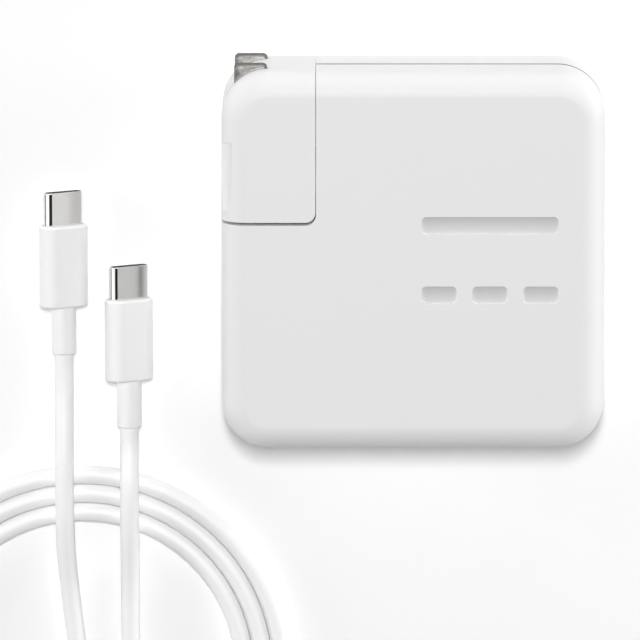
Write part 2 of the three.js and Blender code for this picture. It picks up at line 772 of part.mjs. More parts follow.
const carrierBlock = caseBlock(carrierInset, 3, 3).intersect(
  box([-far, moduleSide], [moduleFloor + carrierInset, far], [-far, far]),
);
const boss = slabAlong('y', bossRegion, [bossEnd, moduleFloor + carrierInset + 1], [inletX, middleZ]);
const carrier = cut(
  unite(carrierBlock, boss),
  ...slots,
  lockSlot,
  pivotPocket(rotorRadius + clearance, [rotorSpan[0] - clearance, rotorSpan[1] + clearance]),
  pivotPocket(journalRadius + clearance, [journalSpan[0] - clearance, journalSpan[1] + clearance]),
  ...contactParts('near', clearance),
  ...contactParts('far', clearance),
  ...Object.values(pinHeights).map((z) => rod('y', [inletX, z], sleeveBore, [bossEnd - 1, sleeveStart], 16)),
);
place('plug_carrier', carrier, nylon);

for (const side of ['near', 'far']) {
  const contact = cut(
    unite(...contactParts(side, 0)),
    rod('y', [inletX, pinHeights[side]], sleeveBore, [sleeveStart - 1, sleeveFloor], 16),
  );
  place(`plug_contact_${side}`, contact, brass);
}

// ---- Folding blades on their rotor ----
function bladeOutline() {
  const shape = new THREE.Shape();
  const tip = pivotY + bladeLength;
  shape.moveTo(pivotX - tangWidth / 2, pivotY - tangDepth);
  shape.lineTo(pivotX + tangWidth / 2, pivotY - tangDepth);
  shape.lineTo(pivotX + tangWidth / 2, pivotY + shoulder);
  shape.lineTo(pivotX + bladeWidth / 2, pivotY + shoulder);
  shape.lineTo(pivotX + bladeWidth / 2, tip - bladeChamfer);
  shape.lineTo(pivotX + bladeWidth / 2 - bladeChamfer, tip);
  shape.lineTo(pivotX - bladeWidth / 2 + bladeChamfer, tip);
  shape.lineTo(pivotX - bladeWidth / 2, tip - bladeChamfer);
  shape.lineTo(pivotX - bladeWidth / 2, pivotY + shoulder);
  shape.lineTo(pivotX - tangWidth / 2, pivotY + shoulder);
  shape.closePath();
  const hole = new THREE.Path();
  hole.absarc(pivotX, tip - bladeHoleInset, bladeHole / 2, 0, 2 * Math.PI, true);
  shape.holes.push(hole);
  return shape;
}

for (const [side, z] of Object.entries(bladeHeights)) {
  const blade = slab(bladeOutline(), [z - bladeThickness / 2, z + bladeThickness / 2], bladeRound, 4, 2);
  place(`blade_${side}`, solid(blade), nickel);
}

const tangPockets = Object.values(bladeHeights).map((z) => box(
  [pivotX - tangWidth / 2 - clearance, pivotX + tangWidth / 2 + clearance],
  [pivotY - tangDepth - clearance, far],
  [z - bladeThickness / 2 - clearance, z + bladeThickness / 2 + clearance],
));
const rotor = cut(
  unite(
    rod('z', [pivotX, pivotY], rotorRadius, rotorSpan, 24),
    rod('z', [pivotX, pivotY], journalRadius, journalSpan, 16),
  ),
  ...tangPockets,
);
place('blade_rotor', rotor, blackPlastic);

// ---- Charge lead: coil of a little over two and a half turns ----
const cordRadius = cordDiameter / 2;
const tieLift = tieThickness + clearance;
const coilLow = coilCentre[1] - coilStretch;
const coilEndY = coilLow + coilTurnIn;
const arcSteps = 10;
const sideSteps = 2;
const turnsAtTop = 3;

// Centre line: up the left side, over the top, down the right side, back along the bottom.
function coilCentreLine() {
  const [cx, cy] = coilCentre;
  const points = [];
  let radius = coilRadius;
  const addSide = (side, from, to) => {
    for (let i = 0; i < sideSteps; i += 1) {
      points.push([cx + side * radius, from + (to - from) * i / sideSteps, cordRadius]);
    }
  };
  const addArc = (centreY, startAngle, lifted) => {
    for (let i = 0; i < arcSteps; i += 1) {
      const share = i / arcSteps;
      const angle = startAngle - Math.PI * share;
      const r = radius + coilPitch * share / 2;
      const lift = lifted ? tieLift * Math.sin(Math.PI * share) ** 8 : 0;
      points.push([cx + r * Math.cos(angle), centreY + r * Math.sin(angle), cordRadius + lift]);
    }
    radius += coilPitch / 2;
  };
  addSide(-1, coilEndY, cy);
  for (let turn = 1; turn <= turnsAtTop; turn += 1) {
    addArc(cy, Math.PI, false);
    const last = turn === turnsAtTop;
    addSide(1, cy, last ? coilEndY : coilLow);
    if (!last) {
      addArc(coilLow, 0, true);
      addSide(-1, coilLow, cy);
    }
  }
  points.push([cx + radius, coilEndY, cordRadius]);
  return points.map((point) => new THREE.Vector3(...point));
}

// One unbroken tube of six-sided sections, corners up and down, flats towards the next turn.
function coilGeometry(line) {
  const sides = 6;
  const positions = [];
  const index = [];
  const up = new THREE.Vector3(0, 0, 1);
  line.forEach((point, i) => {
    const before = line[Math.max(i - 1, 0)];
    const after = line[Math.min(i + 1, line.length - 1)];
    const tangent = after.clone().sub(before).normalize();
    const across = tangent.clone().cross(up).normalize();
    const normal = across.clone().cross(tangent);
    for (let k = 0; k < sides; k += 1) {
      const angle = Math.PI / 2 + k * 2 * Math.PI / sides;
      const corner = point.clone()
        .addScaledVector(across, cordRadius * Math.cos(angle))
        .addScaledVector(normal, cordRadius * Math.sin(angle));
      positions.push(corner.x, corner.y, corner.z);
    }
  });
  for (let i = 0; i < line.length - 1; i += 1) {
    for (let k = 0; k < sides; k += 1) {
      const a = i * sides + k;
      const b = i * sides + (k + 1) % sides;
      index.push(a, b + sides, b, a, a + sides, b + sides);
    }
  }
  const lastRing = (line.length - 1) * sides;
  for (let k = 1; k < sides - 1; k += 1) {
    index.push(0, k, k + 1);
    index.push(lastRing, lastRing + k + 1, lastRing + k);
  }
  const geometry = new THREE.BufferGeometry();
  geometry.setAttribute('position', new THREE.Float32BufferAttribute(positions, 3));
  geometry.setIndex(index);
  return geometry;
}

// Least distance between the flats of two turns, on points a quarter of a step apart.
function leastGap(line) {
  const fine = [];
  for (let i = 0; i < line.length - 1; i += 1) {
    for (let k = 0; k < 4; k += 1) {
      fine.push(line[i].clone().lerp(line[i + 1], k / 4));
    }
  }
  const apart = 24;
  let least = Infinity;
  for (let i = 0; i < fine.length; i += 1) {
    for (let k = i + apart; k < fine.length; k += 1) {
      least = Math.min(least, fine[i].distanceTo(fine[k]));
    }
  }
  return least - cordDiameter * Math.cos(Math.PI / 6);
}

const coilLine = coilCentreLine();
place('cable_coil', coilGeometry(coilLine), cordWhite);
console.log('cable_coil least gap to itself, mm:', leastGap(coilLine).toFixed(3));

// The tie holds the two lower strands where their run is lifted by its own thickness.
const tieSag = tieWidth / 2 * Math.tan(Math.PI / arcSteps / 2);
const tieInner = coilRadius + 0.75 * coilPitch - cordRadius - clearance - tieSag;
const tieOuter = coilRadius + 1.75 * coilPitch + cordRadius + clearance;
const tieTop = 2 * tieThickness + cordDiameter + 2 * clearance;
const tieY = [coilLow - tieOuter, coilLow - tieInner];
const tie = cut(
  slabAlong(
    'x',
    roundedOutline([tieY[0] - tieThickness, tieY[1] + tieThickness], [0, tieTop], tieRound),
    [coilCentre[0] - tieWidth / 2, coilCentre[0] + tieWidth / 2],
    [0, 0],
  ),
  slabAlong(
    'x',
    roundedOutline(tieY, [tieThickness, tieTop - tieThickness], tieRound - tieThickness),
    [coilCentre[0] - tieWidth, coilCentre[0] + tieWidth],
    [0, 0],
  ),
);
place('cable_tie', tie, material(0xe2e2e2, 0.6));

// ---- Charge lead: free stretches ----
const coilStart = coilLine[0];
const coilFinish = coilLine[coilLine.length - 1];
const plugX = { a: -68.4, b: -55.6 };
const plugAxisZ = 3.9;
const leadA = [
  [plugX.a, -22.6, plugAxisZ], [plugX.a, -26.6, plugAxisZ], [plugX.a, -32.5, 4.4], [plugX.a, -38.5, 5.3],
  [plugX.a, -44.5, 5.95], [plugX.a, -50, 6.05], [-68.35, -55.5, 5.9], [-68.2, -61.5, 4.7],
  [-67.7, -68, 3], [-67, -75, 2.1], [-66, -83, 1.9], [-65.1, -91, 1.9],
  [-64.75, -98.5, 1.9], [-64.7, -104.3, 1.9], [-65.95, -110.1, 1.9], [-69.3, -115.1, 1.9],
  [-74.4, -118.5, 1.9], [-80.45, -119.7, 1.9], [-86.5, -118.5, 1.9], [-91.6, -115.1, 1.9],
  [-95, -110.1, 1.9], [coilStart.x, -104.3, 1.9], [coilStart.x, coilStart.y - clearance, 1.9],
];
const leadB = [
  [coilFinish.x, coilFinish.y - clearance, 1.9], [coilFinish.x, -104.3, 1.9], [-25.6, -111.5, 1.95],
  [-25.7, -119.9, 2.3], [-26.9, -125.4, 3.2], [-30.1, -130.2, 4.6], [-34.95, -133.4, 5.9],
  [-40.6, -134.5, 6.4], [-46.4, -133.4, 6.5], [-51.2, -130.2, 5.6], [-54.4, -125.4, 4],
  [plugX.b, -119.5, 2.6], [plugX.b, -111, 2], [plugX.b, -102, 1.9], [plugX.b, -94, 1.9],
  [plugX.b, -86, 1.9], [plugX.b, -78, 1.9], [plugX.b, -71, 2.3], [plugX.b, -64.5, 3.7],
  [plugX.b, -59, 5.3], [plugX.b, -53.5, 6.05], [plugX.b, -48, 5.95], [plugX.b, -44.5, 5.1],
  [plugX.b, -41.2, 4.1], [plugX.b, -37.3, plugAxisZ],
];

function lead(name, route, steps) {
  const path = new THREE.CatmullRomCurve3(route.map((point) => new THREE.Vector3(...point)));
  path.arcLengthDivisions = 1200;
  const section = new THREE.Shape().absarc(0, 0, cordRadius, 0, 2 * Math.PI);
  const tube = new THREE.ExtrudeGeometry(section, {
    steps, bevelEnabled: false, extrudePath: path, curveSegments: 4,
  });
  place(name, solid(tube), cordWhite);
  console.log(`${name} length, mm:`, path.getLength().toFixed(1));
}

lead('lead_a', leadA, 28);
lead('lead_b', leadB, 32);

// ---- Charge lead: plugs, built along +Y from the strain relief's end ----
function plug(letter, end) {
  const holder = new THREE.Group();
  const [x, y, z] = end;
  holder.position.set(x, y + clearance, z);
  holder.rotation.y = THREE.MathUtils.degToRad(plugRoll);
  group.add(holder);
  const bodyStart = reliefLength;
  const bodyEnd = bodyStart + plugBodyLength;
  const tip = bodyEnd + plugShellLength;
  const along = (outline, span, round) => slabAlong('y', outline, span, [0, 0], round);

  const relief = rod('y', [0, 0], reliefRadius, [0, bodyStart + reliefRoot - clearance], 20);
  place(`plug_${letter}_strain_relief`, relief, whitePlastic, holder);

  const body = cut(
    along(stadiumOutline(plugBodyWidth, plugBodyHeight), [bodyStart, bodyEnd], plugBodyRound),
    rod('y', [0, 0], reliefRadius + clearance, [bodyStart - 1, bodyStart + reliefRoot], 20),
    along(
      stadiumOutline(plugShellWidth + 2 * clearance, plugShellHeight + 2 * clearance),
      [bodyEnd - plugShellRoot, bodyEnd + 1],
    ),
  );
  place(`plug_${letter}_housing`, body, whitePlastic, holder);

  const inner = [plugShellWidth - 2 * plugShellWall, plugShellHeight - 2 * plugShellWall];
  const shellStart = bodyEnd - plugShellRoot + clearance;
  const shell = cut(
    along(stadiumOutline(plugShellWidth, plugShellHeight), [shellStart, tip]),
    along(stadiumOutline(inner[0], inner[1]), [shellStart + plugShellWall, tip + 1]),
  );
  place(`plug_${letter}_shell`, shell, nickel, holder);

  const insertSize = [inner[0] - 2 * clearance, inner[1] - 2 * clearance];
  const insertStart = shellStart + plugShellWall + clearance;
  const insertSpan = [insertStart, bodyEnd + insertPastBody];
  const insert = along(stadiumOutline(insertSize[0], insertSize[1]), insertSpan);
  place(`plug_${letter}_insert`, insert, blackPlastic, holder);
}

plug('a', leadA[0]);
plug('b', leadB[leadB.length - 1]);

export default group;
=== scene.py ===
# %% [markdown]
# # A white folding-blade power adapter and its charge lead
# The adapter lies on its rear face and the camera looks down on it, so the floor is the picture's
# background. The CAD model is loaded first as a fixed frame. Each piece made below takes the place
# of a CAD solid, or is a finish for one, and rides on the body that the solid belongs to.
# All sizes are written in millimetres and turned to metres once, where a mesh or curve is made.

import json
import math

import bpy
from mathutils import Matrix, Vector


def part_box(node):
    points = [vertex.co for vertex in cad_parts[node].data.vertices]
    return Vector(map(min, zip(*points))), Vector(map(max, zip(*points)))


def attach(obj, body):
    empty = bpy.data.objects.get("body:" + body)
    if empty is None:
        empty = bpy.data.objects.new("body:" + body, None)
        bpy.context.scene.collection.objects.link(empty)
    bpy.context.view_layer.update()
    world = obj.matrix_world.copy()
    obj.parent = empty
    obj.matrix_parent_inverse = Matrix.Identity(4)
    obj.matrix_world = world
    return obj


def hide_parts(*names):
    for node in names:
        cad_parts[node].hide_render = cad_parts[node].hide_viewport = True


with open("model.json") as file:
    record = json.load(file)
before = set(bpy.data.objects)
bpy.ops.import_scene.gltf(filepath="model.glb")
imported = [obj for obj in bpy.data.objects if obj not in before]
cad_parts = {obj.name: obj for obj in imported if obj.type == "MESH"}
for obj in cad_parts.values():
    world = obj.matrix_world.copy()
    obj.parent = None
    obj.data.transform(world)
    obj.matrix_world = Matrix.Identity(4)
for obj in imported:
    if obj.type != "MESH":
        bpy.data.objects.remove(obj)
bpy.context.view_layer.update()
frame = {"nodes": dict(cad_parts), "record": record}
MM = 0.001

# %% [markdown]
# ## Camera
# A product picture of a flat case is taken from far away with a long lens, so that its sides stay
# parallel. The camera stands 1.5 m up and leans 10.5 degrees towards the plug side, which shows a
# narrow strip of that side. A wide lens nearby would show the same face with slanting sides.

# %% Camera
TILT = math.radians(10.5)
LOOK_AT = Vector((-18.03, -16.35, 0.0)) * MM
DISTANCE = 1.5
LENS = 428.1


def into_scene(name, data):
    """An object of the data, linked to the scene."""
    made = bpy.data.objects.new(name, data)
    bpy.context.scene.collection.objects.link(made)
    return made


camera_data = bpy.data.cameras.new("copy_stand_camera")
camera_data.lens = LENS
camera_data.sensor_width = 36.0
camera_data.clip_end = 20.0
camera = into_scene("copy_stand_camera", camera_data)
camera.location = LOOK_AT + DISTANCE * Vector((0.0, math.sin(TILT), math.cos(TILT)))
camera.rotation_euler = (-TILT, 0.0, 0.0)
bpy.context.scene.camera = camera
bpy.context.scene.view_settings.view_transform = "Standard"
print("camera at", [round(c, 3) for c in camera.location])

# %% [markdown]
# ## Cord route
# The charge lead is one cord, 3.7 mm thick, with a connector at each end. It comes straight out of
# each connector, rises over the coil, and then turns into the coil's inner or outer strand. The
# points are the same ones that the CAD model follows, so the fine cord lies where its solid lies.

# %% Points of the two free stretches
CORD_DIAMETER = 3.7
CORD_AXIS = CORD_DIAMETER / 2
COIL_PITCH = 3.75
COIL_RADIUS = 30.65
COIL_CENTRE = (-65.6, -86.1)
COIL_STRETCH = 20.0
COIL_TURN_IN = 6.0
COIL_LIFT = 1.1
LIFT_SHARPNESS = 8
TURNS_AT_TOP = 3
JOIN_GAP = 0.3
CORD_IN_SLEEVE = 1.6
PLUG_X = {"a": -68.4, "b": -55.6}
PLUG_AXIS = 3.9

coil_low = COIL_CENTRE[1] - COIL_STRETCH
coil_end = coil_low + COIL_TURN_IN
coil_start_x = COIL_CENTRE[0] - COIL_RADIUS
coil_finish_x = COIL_CENTRE[0] + COIL_RADIUS + (TURNS_AT_TOP - 0.5) * COIL_PITCH

straight_a = (
    (-22.6, PLUG_AXIS), (-26.6, PLUG_AXIS), (-32.5, 4.4), (-38.5, 5.3), (-44.5, 5.95), (-50, 6.05),
)
straight_b = (
    (-119.5, 2.6), (-111, 2), (-102, 1.9), (-94, 1.9), (-86, 1.9), (-78, 1.9), (-71, 2.3),
    (-64.5, 3.7), (-59, 5.3), (-53.5, 6.05), (-48, 5.95), (-44.5, 5.1), (-41.2, 4.1),
    (-37.3, PLUG_AXIS),
)
lead_a = [(PLUG_X["a"], y, z) for y, z in straight_a] + [
    (-68.35, -55.5, 5.9), (-68.2, -61.5, 4.7), (-67.7, -68, 3),
    (-67, -75, 2.1), (-66, -83, 1.9), (-65.1, -91, 1.9), (-64.75, -98.5, 1.9),
    (-64.7, -104.3, 1.9), (-65.95, -110.1, 1.9), (-69.3, -115.1, 1.9), (-74.4, -118.5, 1.9),
    (-80.45, -119.7, 1.9), (-86.5, -118.5, 1.9), (-91.6, -115.1, 1.9), (-95, -110.1, 1.9),
    (coil_start_x, -104.3, 1.9), (coil_start_x, coil_end - JOIN_GAP, 1.9),
]
lead_b = [
    (coil_finish_x, coil_end - JOIN_GAP, 1.9), (coil_finish_x, -104.3, 1.9),
    (-25.6, -111.5, 1.95), (-25.7, -119.9, 2.3), (-26.9, -125.4, 3.2), (-30.1, -130.2, 4.6),
    (-34.95, -133.4, 5.9), (-40.6, -134.5, 6.4), (-46.4, -133.4, 6.5), (-51.2, -130.2, 5.6),
    (-54.4, -125.4, 4),
] + [(PLUG_X["b"], y, z) for y, z in straight_b]
print("route points:", len(lead_a), "and", len(lead_b))

# %% [markdown]
# A smooth line through given points is a Catmull-Rom spline. The centripetal kind spaces its knots
# by the square root of the distance, which keeps it from looping at uneven points. The coil's own
# line needs no spline: it is half circles that grow by half a pitch each, with straight sides. At the
# bottom the coil rises a little in the middle of each half circle, where the tie's strap is under it.

# %% Smooth line and coil line
def smooth_line(points, steps):
    """A centripetal Catmull-Rom line through the points, with its ends carried straight on."""
    given = [Vector(p) for p in points]
    knots = [2 * given[0] - given[1]] + given + [2 * given[-1] - given[-2]]
    line = []
    for i in range(1, len(knots) - 2):
        p0, p1, p2, p3 = knots[i - 1 : i + 3]
        t1 = (p1 - p0).length ** 0.5
        t2 = t1 + (p2 - p1).length ** 0.5
        t3 = t2 + (p3 - p2).length ** 0.5
        for k in range(steps):
            t = t1 + (t2 - t1) * k / steps
            a1 = p0.lerp(p1, t / t1)
            a2 = p1.lerp(p2, (t - t1) / (t2 - t1))
            a3 = p2.lerp(p3, (t - t2) / (t3 - t2))
            b1 = a1.lerp(a2, t / t2)
            b2 = a2.lerp(a3, (t - t1) / (t3 - t1))
            line.append(b1.lerp(b2, (t - t1) / (t2 - t1)))
    return line + [given[-1]]


def coil_line(arc_steps=36, side_steps=6):
    """Up the left side, over the top, down the right side and back along the bottom."""
    cx, cy = COIL_CENTRE
    line = []
    radius = COIL_RADIUS

    def side(sign, start, end):
        for k in range(side_steps):
            line.append(Vector((cx + sign * radius, start + (end - start) * k / side_steps, CORD_AXIS)))

    def arc(centre_y, start_angle, lifted):
        for k in range(arc_steps):
            share = k / arc_steps
            angle = start_angle - math.pi * share
            r = radius + COIL_PITCH * share / 2
            lift = COIL_LIFT * math.sin(math.pi * share) ** LIFT_SHARPNESS if lifted else 0.0
            line.append(Vector((cx + r * math.cos(angle), centre_y + r * math.sin(angle), CORD_AXIS + lift)))

    side(-1, coil_end, cy)
    for turn in range(TURNS_AT_TOP):
        last = turn == TURNS_AT_TOP - 1
        arc(cy, math.pi, False)
        radius += COIL_PITCH / 2
        side(1, cy, coil_end if last else coil_low)
        if not last:
            arc(coil_low, 0.0, True)
            radius += COIL_PITCH / 2
            side(-1, coil_low, cy)
    line.append(Vector((cx + radius, coil_end, CORD_AXIS)))
    return line


into_sleeve = Vector((0.0, CORD_IN_SLEEVE, 0.0))
route = smooth_line(lead_a, 4) + coil_line() + smooth_line(lead_b, 4)
route = [Vector(lead_a[0]) + into_sleeve] + route + [Vector(lead_b[-1]) + into_sleeve]

# %% [markdown]
# ## Node and colour helpers
# Every finish is built from shader nodes. One function adds a node, sets its properties and plugs
# sockets or plain values into its inputs, so a material reads as a list of what it is made of.
# Colours are chosen as sRGB hex values, as on a paint chart, and turned to linear light in one place.

# %% Node and colour helpers
def linear(hex_colour):
    """An sRGB hex value as linear red, green, blue and alpha."""
    parts = [int(hex_colour[i : i + 2], 16) / 255 for i in (1, 3, 5)]
    return [c / 12.92 if c <= 0.04045 else ((c + 0.055) / 1.055) ** 2.4 for c in parts] + [1.0]


def add(tree, kind, inputs=None, **settings):
    """Adds one node; inputs may be values or other nodes' output sockets."""
    node = tree.nodes.new(kind)
    for name, value in settings.items():
        setattr(node, name, value)
    for name, value in (inputs or {}).items():
        if isinstance(value, bpy.types.NodeSocket):
            tree.links.new(value, node.inputs[name])
        else:
            node.inputs[name].default_value = value
    return node


def sums(tree, operation, *values):
    """A sum of numbers or sockets, as an output socket."""
    return add(tree, "ShaderNodeMath", dict(enumerate(values)), operation=operation).outputs[0]


print("white plastic in linear light:", [round(c, 3) for c in linear("#E6E6E6")])

# %% [markdown]
# ## One recipe for moulded, plated and cast finishes
# Real plastic is never one flat colour: the mould's spark-eroded grain scatters the highlight, and
# the pigment is a little uneven over a few centimetres. Metal has rolling or drawing lines. So each
# finish gets three patterns: a fine grain that bumps the surface, the same grain in the roughness,
# and a broad, faint change of tone. The grain size is in millimetres and can be stretched on an axis.

# %% The finish recipe
def finish(name, colour, roughness, ior=1.5, metallic=0.0, grain=0.35, depth=0.004, tone=0.02,
           rough_range=0.05, stretch=(1.0, 1.0, 1.0), broad=12.0):
    """A procedural material; grain, depth and broad are in millimetres."""
    material = bpy.data.materials.new(name)
    material.use_nodes = True
    tree = material.node_tree
    tree.nodes.clear()
    place = add(tree, "ShaderNodeTexCoord").outputs["Object"]
    fine_scale = Vector(stretch) / (grain * MM)
    fine_place = add(tree, "ShaderNodeMapping", {"Vector": place, "Scale": fine_scale})
    fine = add(tree, "ShaderNodeTexNoise", {"Vector": fine_place.outputs[0], "Scale": 1.0, "Detail": 3.0})
    wide_place = add(tree, "ShaderNodeMapping", {"Vector": place, "Scale": [1 / (broad * MM)] * 3})
    wide = add(tree, "ShaderNodeTexNoise", {"Vector": wide_place.outputs[0], "Scale": 1.0, "Detail": 2.0})
    base = linear(colour)
    dark = [c * (1 - tone) for c in base[:3]] + [1.0]
    light = [min(c * (1 + tone), 1.0) for c in base[:3]] + [1.0]
    shade = add(tree, "ShaderNodeMix", {0: wide.outputs["Fac"], 6: dark, 7: light}, data_type="RGBA")
    rough = add(tree, "ShaderNodeMapRange", {
        "Value": fine.outputs["Fac"],
        "To Min": max(roughness - rough_range, 0.02),
        "To Max": min(roughness + rough_range, 1.0),
    })
    bump = add(tree, "ShaderNodeBump", {
        "Height": fine.outputs["Fac"], "Distance": depth * MM, "Strength": 1.0,
    })
    surface = add(tree, "ShaderNodeBsdfPrincipled", {
        "Base Color": shade.outputs[2],
        "Roughness": rough.outputs["Result"],
        "Metallic": metallic,
        "IOR": ior,
        "Normal": bump.outputs["Normal"],
    })
    add(tree, "ShaderNodeOutputMaterial", {"Surface": surface.outputs["BSDF"]})
    return material


print("recipe ready")

# %% [markdown]
# ## Plastics of the case and the lead
# The case is injection-moulded polycarbonate, pigmented white, with a fine satin mould grain: a soft, wide
# highlight and no mirror image. The connector grips are the same white resin with a smoother mould, so their
# highlight is narrower, and their colour is set lighter than the case's as painted light, which makes up for
# the lamp light that the case keeps off the lead. The cord's jacket is extruded thermoplastic elastomer.

# %% White plastics
satin_polycarbonate = finish(
    "satin_white_polycarbonate", "#E8E8E8", 0.58, ior=1.585, grain=0.3, depth=0.0025, tone=0.006,
)
# Painted light: the grips' resin is set lighter than the case's.
smooth_polycarbonate_painted_light = finish(
    "smooth_white_polycarbonate_painted_light", "#F8F8F8", 0.3, ior=1.585, grain=0.5, depth=0.0015, tone=0.006,
)
elastomer_jacket = finish(
    "extruded_white_elastomer", "#FAFAFA", 0.45, ior=1.5, grain=0.4, depth=0.004, tone=0.01,
)
silicone_strap = finish(
    "moulded_white_silicone", "#E6E6E6", 0.55, ior=1.41, grain=0.3, depth=0.006, tone=0.015,
)
print("white plastics:", satin_polycarbonate.name, elastomer_jacket.name)

# %% [markdown]
# The parting groove of the case is narrow, and its faces carry painted shade: the resin there is far darker
# and rougher than the face, as light hardly reaches into it. Without that, a groove this fine would vanish in
# a picture of this size.

# %% Painted shade for the groove
groove_painted_shade = finish(
    "polycarbonate_groove_painted_shade", "#303030", 0.8, ior=1.585, grain=0.2, depth=0.01, tone=0.08, broad=4.0,
)
print("groove finish:", groove_painted_shade.name)

# %% [markdown]
# The mark in the front face is pressed in, and its stroke floors carry painted shade: each stroke is grey at
# its top, where its upper wall would shade it, and fades to the case's own colour at its bottom. The painted
# shade follows the piece's own Y coordinate, and a modulo repeats it for the two rows of strokes.

# %% Painted shade in the recess
MARK_CENTRE = (14.8, 0.6)
MARK_LENGTH = 26.4
MARK_STROKE = 3.4
MARK_ROUND = MARK_STROKE / 4
MARK_PITCH = 13.6
MARK_DEPTH = 0.35
DASH_SHARE = 0.256


def recess_painted_shade():
    """The case's resin with painted shade: grey at each stroke's top, fading down the stroke."""
    material = satin_polycarbonate.copy()
    material.name = "white_polycarbonate_painted_shade"
    tree = material.node_tree
    surface = next(n for n in tree.nodes if n.type == "BSDF_PRINCIPLED")
    place = add(tree, "ShaderNodeTexCoord").outputs["Object"]
    y = add(tree, "ShaderNodeSeparateXYZ", {"Vector": place}).outputs["Y"]
    foot = (MARK_CENTRE[1] - MARK_PITCH / 2 - MARK_STROKE / 2) * MM
    row = sums(tree, "MODULO", sums(tree, "SUBTRACT", y, foot), MARK_PITCH * MM)
    share = add(tree, "ShaderNodeMapRange", {"Value": row, "From Max": MARK_STROKE * MM})
    stroke_shadow_ramp = add(tree, "ShaderNodeValToRGB", {"Fac": share.outputs["Result"]})
    # Painted shade: nearly the case's colour at a stroke's foot, grey at its top.
    stroke_shadow_ramp.color_ramp.elements[0].color = linear("#E2E2E2")
    stroke_shadow_ramp.color_ramp.elements[1].color = linear("#B9B9B9")
    tree.links.new(stroke_shadow_ramp.outputs["Color"], surface.inputs["Base Color"])
    return material


mark_painted_shade = recess_painted_shade()
print("tint repeats every", MARK_PITCH, "mm")

# %% [markdown]
# ## Metals
# The connector shells are deep-drawn steel with bright nickel plating, a soft mirror. The mains blades are
# stamped brass with duller nickel plating that is mottled by handling, and the edges that the press sheared
# are rougher than the rolled faces and carry painted shade that makes them darker. A metal has no diffuse
# colour: what it shows is its surroundings, tinted by the base colour.

# %% Metals
bright_nickel = finish(
    "bright_nickel_plating", "#E6E5E3", 0.12, metallic=1.0, grain=0.8, depth=0.0004, tone=0.01,
    rough_range=0.02,
)
blade_nickel = finish(
    "stamped_nickel_plated_brass", "#A9A7A4", 0.2, metallic=1.0, grain=0.35, depth=0.004, tone=0.3,
    rough_range=0.08, stretch=(1.0, 0.6, 1.0), broad=0.5,
)
# Painted shade: the sheared edges' base colour is darkened so they draw a dark line round each blade.
sheared_edge_painted_shade = finish(
    "sheared_nickel_edge_painted_shade", "#646361", 0.5, metallic=1.0, grain=0.2, depth=0.01, tone=0.3,
    rough_range=0.1, stretch=(1.0, 1.0, 0.3), broad=0.5,
)
# Partly painted shade: a dull barrel plating whose colour is set darker than nickel, so the stud shows no
# glint through the module's seam.
barrel_nickel_painted_shade = finish(
    "barrel_plated_nickel_steel_painted_shade", "#7E7D7B", 0.42, metallic=1.0, grain=0.3, depth=0.004, tone=0.06,
)
gold_flash = finish(
    "gold_flashed_contact", "#D8B365", 0.25, metallic=1.0, grain=0.2, depth=0.001, tone=0.04,
)
zinc_steel = finish("zinc_plated_steel", "#AEB0B2", 0.35, metallic=1.0, grain=0.4, depth=0.003, tone=0.05)
pressed_brass = finish("pressed_brass", "#CBA45C", 0.32, metallic=1.0, grain=0.3, depth=0.003, tone=0.06)
enamelled_copper = finish(
    "enamelled_copper_wire", "#B46A3C", 0.35, metallic=1.0, grain=0.6, depth=0.08, tone=0.12,
    stretch=(0.4, 0.4, 1.0),
)
mill_aluminium = finish(
    "mill_finish_aluminium", "#B8BABC", 0.4, metallic=1.0, grain=0.25, depth=0.004, tone=0.05,
    stretch=(0.1, 1.0, 1.0),
)
print("metals ready")

# %% [markdown]
# ## Finishes of the parts inside
# These are seen through the slots and sockets, or when the model is opened. Each has the common
# colour and surface of its material: glass-filled nylon, black polyester, green solder mask over
# glass cloth, pressed ferrite, polyester tape, epoxy coatings and a shrunk sleeve.

# %% Inside finishes
natural_nylon = finish("glass_filled_nylon", "#D9D8D2", 0.5, ior=1.53, grain=0.5, depth=0.01, tone=0.04)
black_polyester = finish(
    "moulded_black_polyester", "#1E1E20", 0.42, ior=1.57, grain=0.3, depth=0.006, tone=0.1,
)
inside_finishes = {
    "nylon": natural_nylon,
    "black_plastic": black_polyester,
    "nickel": bright_nickel,
    "blade_nickel": blade_nickel,
    "steel": zinc_steel,
    "brass": pressed_brass,
    "copper": enamelled_copper,
    "aluminium": mill_aluminium,
    "circuit_board": finish("green_solder_mask", "#1C5A36", 0.35, ior=1.55, grain=0.5, depth=0.01, tone=0.15),
    "ferrite": finish("pressed_ferrite", "#38393B", 0.65, ior=1.6, grain=0.4, depth=0.02, tone=0.1),
    "winding_tape": finish("polyester_tape", "#D8BE48", 0.3, ior=1.6, grain=1.5, depth=0.02, tone=0.06),
    "film_case": finish("moulded_film_case", "#D2A838", 0.45, grain=0.4, depth=0.01, tone=0.05),
    "disc_coating": finish(
        "dipped_epoxy_coating", "#2A62A0", 0.35, ior=1.55, grain=1.2, depth=0.03, tone=0.08,
    ),
    "can_sleeve": finish(
        "shrunk_capacitor_sleeve", "#263445", 0.3, ior=1.54, grain=2.0, depth=0.01, tone=0.05,
    ),
    "fuse_glass": finish("glazed_ceramic_fuse", "#CFD0D2", 0.2, ior=1.55, grain=0.6, depth=0.004, tone=0.04),
    "brown_wire": finish("brown_wire_insulation", "#6A4830", 0.5, grain=0.3, depth=0.008, tone=0.06),
    "blue_wire": finish("blue_wire_insulation", "#2E5E9E", 0.5, grain=0.3, depth=0.008, tone=0.06),
}
for subpart in frame["record"]["subparts"]:
    worn = inside_finishes.get(subpart["material_slot"])
    if worn:
        solid = frame["nodes"][subpart["node"]].data
        solid.materials.clear()
        solid.materials.append(worn)
print("finishes put on the CAD solids inside")

# %% [markdown]
# ## Shape helpers
# Most pieces here are outlines pushed through space: a rounded rectangle for the case, a flat oval
# for the connectors, a circle for pins and studs. A loft joins a stack of such outlines into a closed
# mesh. Box modelling with subdivision could make the same forms, but exact radii are easier this way.

